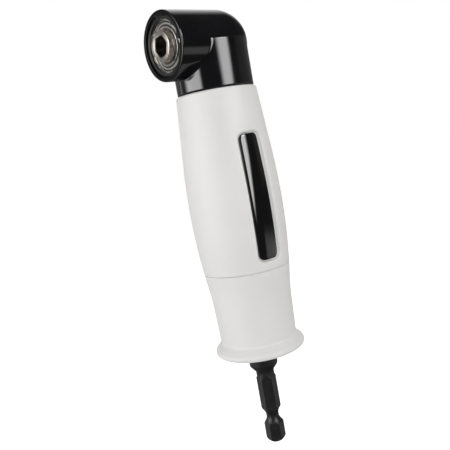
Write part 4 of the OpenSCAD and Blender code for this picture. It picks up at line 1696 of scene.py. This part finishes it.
@dataclass(frozen=True)
class Spindle:
    """The output spindle with its hexagonal socket, in mm forward of the handle's axis.

    The socket's rows start inside its flats by flat_margin, and the nose's side takes a darker
    copy of the steel, painted shade, from flank_margin inside its radius.
    """

    hexagon: Hexagon = field(default=Hexagon(6.45, 9.5, 0.15))
    rear: float = -9.2
    journal_r: float = 3.5
    step: float = -3.9
    seat_r: float = 4.6
    bearing_back: float = 12.2
    nose_r: float = 5.0
    front_r: float = 4.9
    face: float = 19.4
    face_edge: float = 0.14
    mouth_r: float = 4.6
    mouth_slope: float = 6.0
    floor: float = 6.6
    magnet_r: float = 2.7
    magnet_back: float = 4.1
    magnet_rim: float = 0.3
    step_back: tuple[float, float] = (1.9, 1.7)
    corner_cut: float = 0.06
    face_steps: int = 8
    flat_margin: float = 0.1
    flank_margin: float = 0.1
    floor_margin: float = 0.05
    floor_r: float = 2.0

    def rows(self) -> list[Row]:
        """Rows of the spindle.

        Returns:
            The rows, from the rear end over the nose and down into the socket.
        """
        rows = eased([
            (0.0, self.rear), (self.journal_r, self.rear), (self.journal_r, self.step),
            (self.seat_r, self.step), (self.seat_r, self.bearing_back),
            (self.nose_r, self.bearing_back), (self.nose_r, self.face - self.step_back[0]),
            (self.front_r, self.face - self.step_back[1]),
            (self.front_r, self.face - self.face_edge),
        ], self.corner_cut)
        for step in range(1, self.face_steps + 1):
            a = QUARTER*step/self.face_steps
            rows.append((self.front_r - self.face_edge*(1 - math.cos(a)),
                         self.face - self.face_edge*(1 - math.sin(a)), Hex.NONE))
        inner = self.hexagon.across_flats/2 - self.flat_margin
        floor = self.floor + self.floor_margin
        deep = self.face - (self.mouth_r - inner)*self.mouth_dip()
        return [
            *rows, *steps_between((self.mouth_r, self.face), (inner, deep), 12, Hex.MOUTH),
            (inner, deep, Hex.MOUTH),
            *steps_between((inner, deep - HEX_BEVEL), (inner, floor), 12, Hex.SOCKET),
            (self.floor_r, self.floor, Hex.SOCKET),
            (self.magnet_r + self.magnet_rim, self.floor, Hex.NONE),
            (self.magnet_r, self.floor, Hex.NONE), (self.magnet_r, self.magnet_back, Hex.NONE),
            (0.0, self.magnet_back, Hex.NONE),
        ]

    def mouth_dip(self) -> float:
        """Slope of the face round the socket's mouth."""
        return math.tan(math.radians(self.mouth_slope))

    def build(self) -> None:
        """Makes the spindle."""
        piece = turn_hexagonal("spindle_turned", self.rows(), self.hexagon, NOSE_STEEL,
                               Axis.OUTPUT, self.mouth_dip())
        flank_r = self.front_r - self.flank_margin
        # The nose's side takes the darker copy of the steel, which paints shade on it
        repaint(piece, SHADED_FLANK_STEEL,
                lambda at, way: abs(way.y) < FLANK_SHARE and at.xz.length > flank_r)
        dress(piece, Body.OUTPUT, NOSE_STEEL, "output_spindle")


@dataclass(frozen=True)
class FrontBearing:
    """The bearing that shows in the barrel's mouth, with its snap ring, in mm.

    Values named drop are depths below the front face of the ring or of the shield.
    """

    back: float = 12.2
    width: float = 5.0
    bore_r: float = 5.0
    outer_r: float = 9.5
    inner_land: float = 6.35
    outer_land: float = 8.3
    seat: float = 8.64
    clip_thickness: float = 0.8
    clip_groove_r: float = 10.0
    clip_inner_r: float = 8.58
    lug_r: float = 1.0
    lug_hole_r: float = 0.42
    gap: float = 22.0
    inner_relief: float = 0.4
    relief_drops: tuple[float, float, float, float] = (1.4, 1.3, 0.2, 0.15)
    ledge_depth: float = 0.45
    bore_chamfer: float = 0.8
    shield_inset: float = 0.2
    shield_sheet: float = 0.22
    shield_bead: float = 7.98
    shield_groove: float = 7.76
    shield_land: float = 6.84
    shield_lip: float = 6.66
    shield_step: float = 0.1
    lip_drop: float = 0.95
    groove_drops: tuple[float, float] = (0.66, 0.44)
    gap_shade_drop: float = 0.7
    # Depth and tops of the dark rings that paint shade in the shield's gaps, and half the width of
    # the one in its groove
    gap_shade_tops: tuple[float, float] = (0.12, 0.2)
    groove_shade_half: float = 0.11
    clip_play: float = 0.05
    clip_edge: float = 0.12
    clip_blend: float = 0.3
    clip_cell: float = 0.12

    def races(self) -> None:
        """Makes the two rings."""
        low, top = self.back, self.back + self.width
        deep, hollow_r = self.ledge_depth, self.inner_land - self.inner_relief
        start, below, above, end = (top - drop for drop in self.relief_drops)
        inner = [
            (self.bore_r, low, 0.3), (self.inner_land, low, 0.12),
            (self.inner_land, start, 0.05), (hollow_r, below, 0.05),
            (hollow_r, above, 0.05), (self.inner_land, end, 0.04),
            (self.inner_land, top, 0.06), (self.bore_r + self.bore_chamfer, top, 0.05),
            (self.bore_r, top - self.bore_chamfer, 0.05),
        ]
        turned_piece("front_race_inner", inner, Body.OUTPUT, RACE_STEEL, "front_bearing_inner")
        outer = [
            (self.seat, low, 0.08), (self.outer_r, low, 0.25), (self.outer_r, top, 0.1),
            (self.seat, top, 0.12), (self.seat, top - deep, 0.05),
            (self.outer_land, top - deep, 0.1), (self.outer_land, low + deep, 0.1),
            (self.seat, low + deep, 0.05),
        ]
        turned_piece("front_race_outer", outer, Body.HOUSING, RACE_STEEL, "front_bearing_outer")

    def shields(self) -> None:
        """Makes the front shield, the dark rubber rings in its two gaps that paint shade there, and
        the rear shield.
        """
        thin, bead, groove = self.shield_sheet, self.shield_bead, self.shield_groove
        land, lip, seat = self.shield_land, self.shield_lip, self.seat
        face = self.back + self.width - self.shield_inset
        under, lip_z = face - thin - self.shield_step, face - self.lip_drop
        outside, inside = (face - drop for drop in self.groove_drops)
        front = [
            (lip, lip_z, 0.04), (lip + thin, lip_z, 0.04), (land + 0.15, under, 0.1),
            (groove - 0.4, under, 0.1), (groove - 0.2, outside, 0.05),
            (groove + 0.2, outside, 0.05), (bead + 0.15, under, 0.05),
            (seat, under, 0.05), (seat, face, 0.12), (bead, face, 0.08),
            (groove + 0.1, inside, 0.05), (groove - 0.1, inside, 0.05),
            (groove - 0.2, face, 0.07), (land, face, 0.08),
        ]
        turned_piece("front_shield_pressed", front, Body.HOUSING, SHIELD_STEEL,
                     "front_bearing_shields")
        # Dark rings fill the gap inside the shield's lip and the shield's groove, as painted shade
        foot = face - self.gap_shade_drop
        lip_shade_top, groove_shade_top = (face - drop for drop in self.gap_shade_tops)
        groove_shade = (groove - self.groove_shade_half, groove + self.groove_shade_half)
        for name, inner, outer, top in (
                ("front_lip_shade", self.inner_land - 0.3, lip + 0.03, lip_shade_top),
                ("front_groove_shade", *groove_shade, groove_shade_top)):
            seal = [(inner, foot, 0.03), (outer, foot, 0.03), (outer, top, 0.06),
                    (inner, top, 0.06)]
            turned_piece(name, seal, Body.HOUSING, GAP_SHADE_RUBBER)
        low = self.back + self.shield_inset
        rear = [(lip, low, 0.05), (seat, low, 0.05), (seat, low + thin, 0.05),
                (lip, low + thin, 0.05)]
        turned_piece("rear_shield_pressed", rear, Body.HOUSING, SHIELD_STEEL)

    def clip_shape(self, x: np.ndarray, y: np.ndarray, z: np.ndarray) -> np.ndarray:
        """Distance to the snap ring, whose gap lies along +X.

        Args:
            x: Sideways from the output axis, in mm.
            y: Across the axis and the gap.
            z: Forwards along the axis.

        Returns:
            The distances in mm, negative inside.
        """
        middle = self.back + self.width + self.clip_thickness/2
        round_r = np.sqrt(x**2 + y**2)
        half = math.radians(self.gap/2)
        ring = np.maximum(round_r - self.clip_groove_r + self.clip_play,
                          self.clip_inner_r - round_r)
        gap = x*math.sin(half) - np.abs(y)*math.cos(half)
        gap = np.where(x > 0, gap, -round_r)
        ring = round_cut(ring, gap, 0.1)
        at = self.outer_r - self.lug_r - self.clip_play
        lug = np.sqrt((x - at*math.cos(half))**2 + (np.abs(y) - at*math.sin(half))**2)
        flat = round_union(ring, lug - self.lug_r, self.clip_blend)
        flat = np.maximum(flat, self.lug_hole_r - lug)
        side = np.abs(z - middle) - self.clip_thickness/2 + 0*x
        return round_cut(flat, side, self.clip_edge)

    def clip(self) -> None:
        """Makes the snap ring."""
        side, low = self.clip_groove_r + 0.3, self.back + self.width
        piece = mesh_of_field(
            "front_clip", self.clip_shape, (-side, -side, low - 0.3),
            (side, side, low + self.clip_thickness + 0.3), self.clip_cell, CLIP_BLACK,
            Axis.OUTPUT,
        )
        dress(piece, Body.HOUSING, CLIP_BLACK, "front_circlip")

    def build(self) -> None:
        """Makes the rings, the shields and the snap ring."""
        self.races()
        self.shields()
        self.clip()


@dataclass(frozen=True)
class InnerParts:
    """The solids that keep their own shape, under the finish that each takes."""

    groups: tuple[tuple[Finish, tuple[str, ...]], ...] = (
        (BUSH_BRONZE, ("rear_bush", "thrust_washer")),
        (RACE_STEEL_HANDLE, ("neck_bearing_outer", "tail_bearing_outer", "neck_bearing_inner",
                             "tail_bearing_inner")),
        (SHIELD_STEEL_HANDLE, ("neck_bearing_shields", "tail_bearing_shields", "wave_washer")),
        (CLIP_BLACK, ("neck_circlip", "tail_circlip", "shaft_circlip")),
        (TUBE_STEEL, ("handle_tube", "spigot_pins", "pinion_pin")),
        (GEAR_STEEL, ("input_pinion", "output_gear", "gear_key")),
        (MAGNET_NICKEL, ("socket_magnet",)),
        (BALL_STEEL, ("front_bearing_balls", "neck_bearing_balls", "tail_bearing_balls")),
        (CAGE_BRASS, ("front_bearing_cage", "neck_bearing_cage", "tail_bearing_cage")),
    )

    def build(self) -> None:
        """Gives each solid its material."""
        for finish, nodes in self.groups:
            for node in nodes:
                for holder in frame["nodes"][node].material_slots:
                    holder.material = PAINTS.get(finish)
                LOG.info("%s: %s", node, finish.slot)


# The studio

def towards(azimuth: float, elevation: float) -> Vector:
    """Unit vector to an azimuth from -Y towards +X and an elevation, in degrees."""
    a, e = math.radians(azimuth), math.radians(elevation)
    return Vector((math.sin(a)*math.cos(e), -math.cos(a)*math.cos(e), math.sin(e)))


def rise(value: np.ndarray, start: float, end: float) -> np.ndarray:
    """Rises smoothly from 0 to 1 between two values."""
    share = np.clip((value - start)/(end - start), 0, 1)
    return share*share*(3 - 2*share)


@dataclass(frozen=True)
class SoftBox:
    """A rectangular lamp that lights the object and has no reflection.

    Fields:
        name: The lamp's name.
        azimuth: Its direction from the object, in degrees.
        elevation: Its height above the object, in degrees.
        width: Its width as an angle in degrees.
        height: Its height as an angle in degrees.
        level: Its brightness, where white paper is 1.
    """

    name: str
    azimuth: float
    elevation: float
    width: float
    height: float
    level: float
    distance: float = 0.85
    target: tuple[float, float, float] = (0.0, 0.0, 0.085)

    def build(self) -> None:
        """Adds the lamp."""
        light = bpy.data.lights.new(self.name, "AREA")
        light.shape = "RECTANGLE"
        light.size = 2*self.distance*math.tan(math.radians(self.width/2))
        light.size_y = 2*self.distance*math.tan(math.radians(self.height/2))
        light.energy = self.level*math.pi*light.size*light.size_y
        holder = bpy.data.objects.new(light.name, light)
        way = towards(self.azimuth, self.elevation)
        holder.location = Vector(self.target) + way*self.distance
        holder.rotation_euler = way.to_track_quat("Z", "Y").to_euler()
        holder.visible_glossy = False
        holder.visible_camera = False
        bpy.context.scene.collection.objects.link(holder)


@dataclass(frozen=True)
class Glow:
    """A soft patch of light on the dome, in degrees.

    Fields:
        level: Its brightness in the middle.
        left: Azimuths where its left side starts and is full.
        right: Azimuths where its right side is still full and ends.
        low: Elevations where its lower side starts and is full.
        high: Elevations where its upper side is still full and ends.
        slant: How far the right side moves in for each degree below slant_top.
        slant_top: Elevation that the slant starts from.
    """

    level: float
    left: tuple[float, float]
    right: tuple[float, float]
    low: tuple[float, float]
    high: tuple[float, float]
    slant: float = 0.0
    slant_top: float = 8.0

    def strength(self, azimuth: np.ndarray, elevation: np.ndarray) -> np.ndarray:
        """Brightness of the patch.

        Args:
            azimuth: Azimuths of the directions, in degrees.
            elevation: Their elevations.

        Returns:
            The brightness in each direction.
        """
        middle = (self.left[1] + self.right[0])/2
        turned = np.mod(azimuth - middle + 180, 360) - 180 + middle
        moved = turned + self.slant*np.maximum(self.slant_top - elevation, 0)
        across = rise(turned, *self.left)*(1 - rise(moved, *self.right))
        return self.level*across*rise(elevation, *self.low)*(1 - rise(elevation, *self.high))


@dataclass(frozen=True)
class Studio:
    """White background, pale floor, a dome for reflections, and lamps."""

    boxes: tuple[SoftBox, ...] = (
        SoftBox("right_box", 97, 14, 38, 42, 1.84),
        SoftBox("left_box", -12, 10, 58, 46, 1.75),
        SoftBox("top_box", 180, 68, 60, 44, 0.9),
    )
    glows: tuple[Glow, ...] = (
        Glow(9.6, (71, 87), (105, 118), (-11, -2), (30, 40), 1.4, 9.0),
        Glow(20.0, (71, 87), (105, 118), (14, 18), (32, 38)),
        Glow(8.5, (-50, -28), (8, 19), (-18, -8), (30, 38)),
        Glow(0.26, (-112, -102), (-46, -36), (-60, -50), (20, 40)),
        Glow(1.4, (-73, -70), (-66, -63), (-50, -40), (20, 40)),
        Glow(1.2, (-172, -130), (-112, -100), (12, 28), (75, 85)),
        Glow(0.82, (112, 120), (172, 182), (-34, -27), (-16, -10)),
        Glow(0.18, (130, 142), (210, 225), (-4, 2), (10, 18)),
    )
    ambient: float = 0.52
    dome_level: float = 0.06
    dome_r: float = 3.0
    dome_z: float = 0.1
    dome_step: int = 2
    floor_z: float = -0.1
    floor_size: float = 8.0
    floor_grey: float = 0.8
    floor_lift: float = 0.6

    def seen(self, graph: Graph) -> bpy.types.NodeSocket:
        """Adds a mask of the rays that show the background.

        Args:
            graph: The graph to add it to.

        Returns:
            A value that is 1 for camera, glossy and transmission rays.
        """
        path = graph.add("ShaderNodeLightPath").outputs
        shine = graph.math("MAXIMUM", path["Is Glossy Ray"], path["Is Transmission Ray"])
        return graph.math("MAXIMUM", path["Is Camera Ray"], shine)

    def world(self) -> None:
        """Makes the background white where it is seen, and softer where it lights."""
        world = bpy.data.worlds.new("studio_white")
        bpy.context.scene.world = world
        world.use_nodes = True
        graph = Graph(world.node_tree)
        strength = graph.range(self.seen(graph), 0.0, 1.0, self.ambient, 1.0)
        shader = graph.add("ShaderNodeBackground", Color=WHITE, Strength=strength)
        graph.add("ShaderNodeOutputWorld", Surface=shader.outputs[0])

    def floor(self) -> None:
        """Lays the pale floor below the shank."""
        half, grey = self.floor_size/2, self.floor_grey
        mesh = bpy.data.meshes.new("studio_floor")
        corners = [(-half, -half), (half, -half), (half, half), (-half, half)]
        mesh.from_pydata([(x, y, self.floor_z) for x, y in corners], [], [(0, 1, 2, 3)])
        made, graph = new_material("floor_pale")
        glow = graph.math("MULTIPLY", self.seen(graph), self.floor_lift)
        shader = graph.add(
            "ShaderNodeBsdfPrincipled", Base_Color=(grey, grey, grey, 1), Roughness=0.9,
            Specular_IOR_Level=0.1, Emission_Color=WHITE, Emission_Strength=glow,
        )
        graph.add("ShaderNodeOutputMaterial", Surface=shader.outputs[0])
        mesh.materials.append(made)
        piece = bpy.data.objects.new("studio_floor", mesh)
        piece.visible_glossy = False
        bpy.context.scene.collection.objects.link(piece)
        piece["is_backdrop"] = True

    def dome(self) -> None:
        """Sets up the dome that only reflections see, with soft patches of light on it."""
        step = self.dome_step
        azimuth, elevation = np.meshgrid(np.arange(0, 360, step),
                                         np.arange(step - 90, 91 - step, step))
        a, e = np.radians(azimuth), np.radians(elevation)
        points = np.stack([np.sin(a)*np.cos(e), -np.cos(a)*np.cos(e), np.sin(e)], axis=2)
        points = points.reshape(-1, 3)*self.dome_r + np.array([0, 0, self.dome_z])
        rows, count = azimuth.shape
        faces: list[tuple[int, ...]] = list(ring_faces(rows, count, False))
        last = (rows - 1)*count
        faces += [tuple(range(count))[::-1], tuple(range(last, last + count))]
        level = np.full(azimuth.shape, self.dome_level)
        for glow in self.glows:
            level = np.maximum(level, glow.strength(azimuth, elevation))
        mesh = bpy.data.meshes.new("studio_dome")
        mesh.from_pydata(points.tolist(), [], faces)
        paint = mesh.attributes.new("glow", "FLOAT", "POINT")
        paint.data.foreach_set("value", level.ravel())
        made, graph = new_material("dome_glow")
        value = graph.add("ShaderNodeAttribute", {"attribute_name": "glow"}).outputs["Fac"]
        shader = graph.add("ShaderNodeEmission", Color=WHITE, Strength=value)
        graph.add("ShaderNodeOutputMaterial", Surface=shader.outputs[0])
        mesh.materials.append(made)
        piece = bpy.data.objects.new("studio_dome", mesh)
        bpy.context.scene.collection.objects.link(piece)
        for ray in ("camera", "diffuse", "transmission", "volume_scatter", "shadow"):
            setattr(piece, f"visible_{ray}", False)
        piece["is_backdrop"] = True

    def build(self) -> None:
        """Sets up the background, the floor, the dome and the lamps."""
        self.world()
        self.floor()
        self.dome()
        for box in self.boxes:
            box.build()


@dataclass(frozen=True)
class Viewpoint:
    """The photograph's camera, found by fitting it to the object's edges.

    Fields:
        azimuth: Direction from the object, from -Y towards +X, in degrees.
        elevation: Height above the object, in degrees.
        roll: Lean of the picture, in degrees.
        distance: From the point aimed at, in mm.
        aim_z: Height of the point aimed at, in mm.
        aim_right: How far the aim lies to the right of the handle's axis, in mm.
        focal: Focal length in pixels of the 450 pixel picture.
        centre: Pixel that the lens points at.
    """

    azimuth: float = 51.196
    elevation: float = 7.644
    roll: float = -9.904
    distance: float = 216.04
    aim_z: float = 81.2
    aim_right: float = 1.678
    focal: float = 602.32
    centre: tuple[float, float] = (244.5, 227.14)
    picture: float = 450.0
    sensor: float = 36.0

    def build(self) -> None:
        """Adds the camera."""
        back = towards(self.azimuth, self.elevation)
        turn = math.radians(self.azimuth)
        right = Vector((math.cos(turn), math.sin(turn), 0))
        up = back.cross(right)
        lean = math.radians(self.roll)
        side = right*math.cos(lean) + up*math.sin(lean)
        top = up*math.cos(lean) - right*math.sin(lean)
        aim = (Vector((0, 0, self.aim_z)) + right*self.aim_right)*MM
        lens = bpy.data.cameras.new("photo_camera")
        lens.sensor_width = self.sensor
        lens.lens = self.focal/self.picture*self.sensor
        lens.shift_x = (self.picture/2 - self.centre[0])/self.picture
        lens.shift_y = (self.centre[1] - self.picture/2)/self.picture
        lens.clip_start = 0.005
        lens.clip_end = 50
        camera = bpy.data.objects.new("photo_camera", lens)
        pose = Matrix((side, top, back)).transposed().to_4x4()
        camera.matrix_world = Matrix.Translation(aim + back*self.distance*MM) @ pose
        bpy.context.scene.collection.objects.link(camera)
        bpy.context.scene.camera = camera


def plain(box: Iterable[Iterable[float]]) -> list[list[float]]:
    """A box as plain lists of numbers."""
    return [[float(v) for v in corner] for corner in box]


def main() -> None:
    """Builds the studio and dresses each sub-assembly in turn."""
    logging.basicConfig(level=logging.INFO, format="%(name)s: %(message)s")
    bpy.context.scene.view_settings.view_transform = "Standard"
    Viewpoint().build()
    Studio().build()
    for part in (Head(), Grip(), PanelLens(), Guard(), TailSeal(), Shaft(), Spindle(),
                 FrontBearing(), InnerParts()):
        LOG.info("building %s", type(part).__name__)
        part.build()
    {"cad": plain(CAD_BOX), "visual": plain(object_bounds())}


if __name__ == "__main__":
    main()
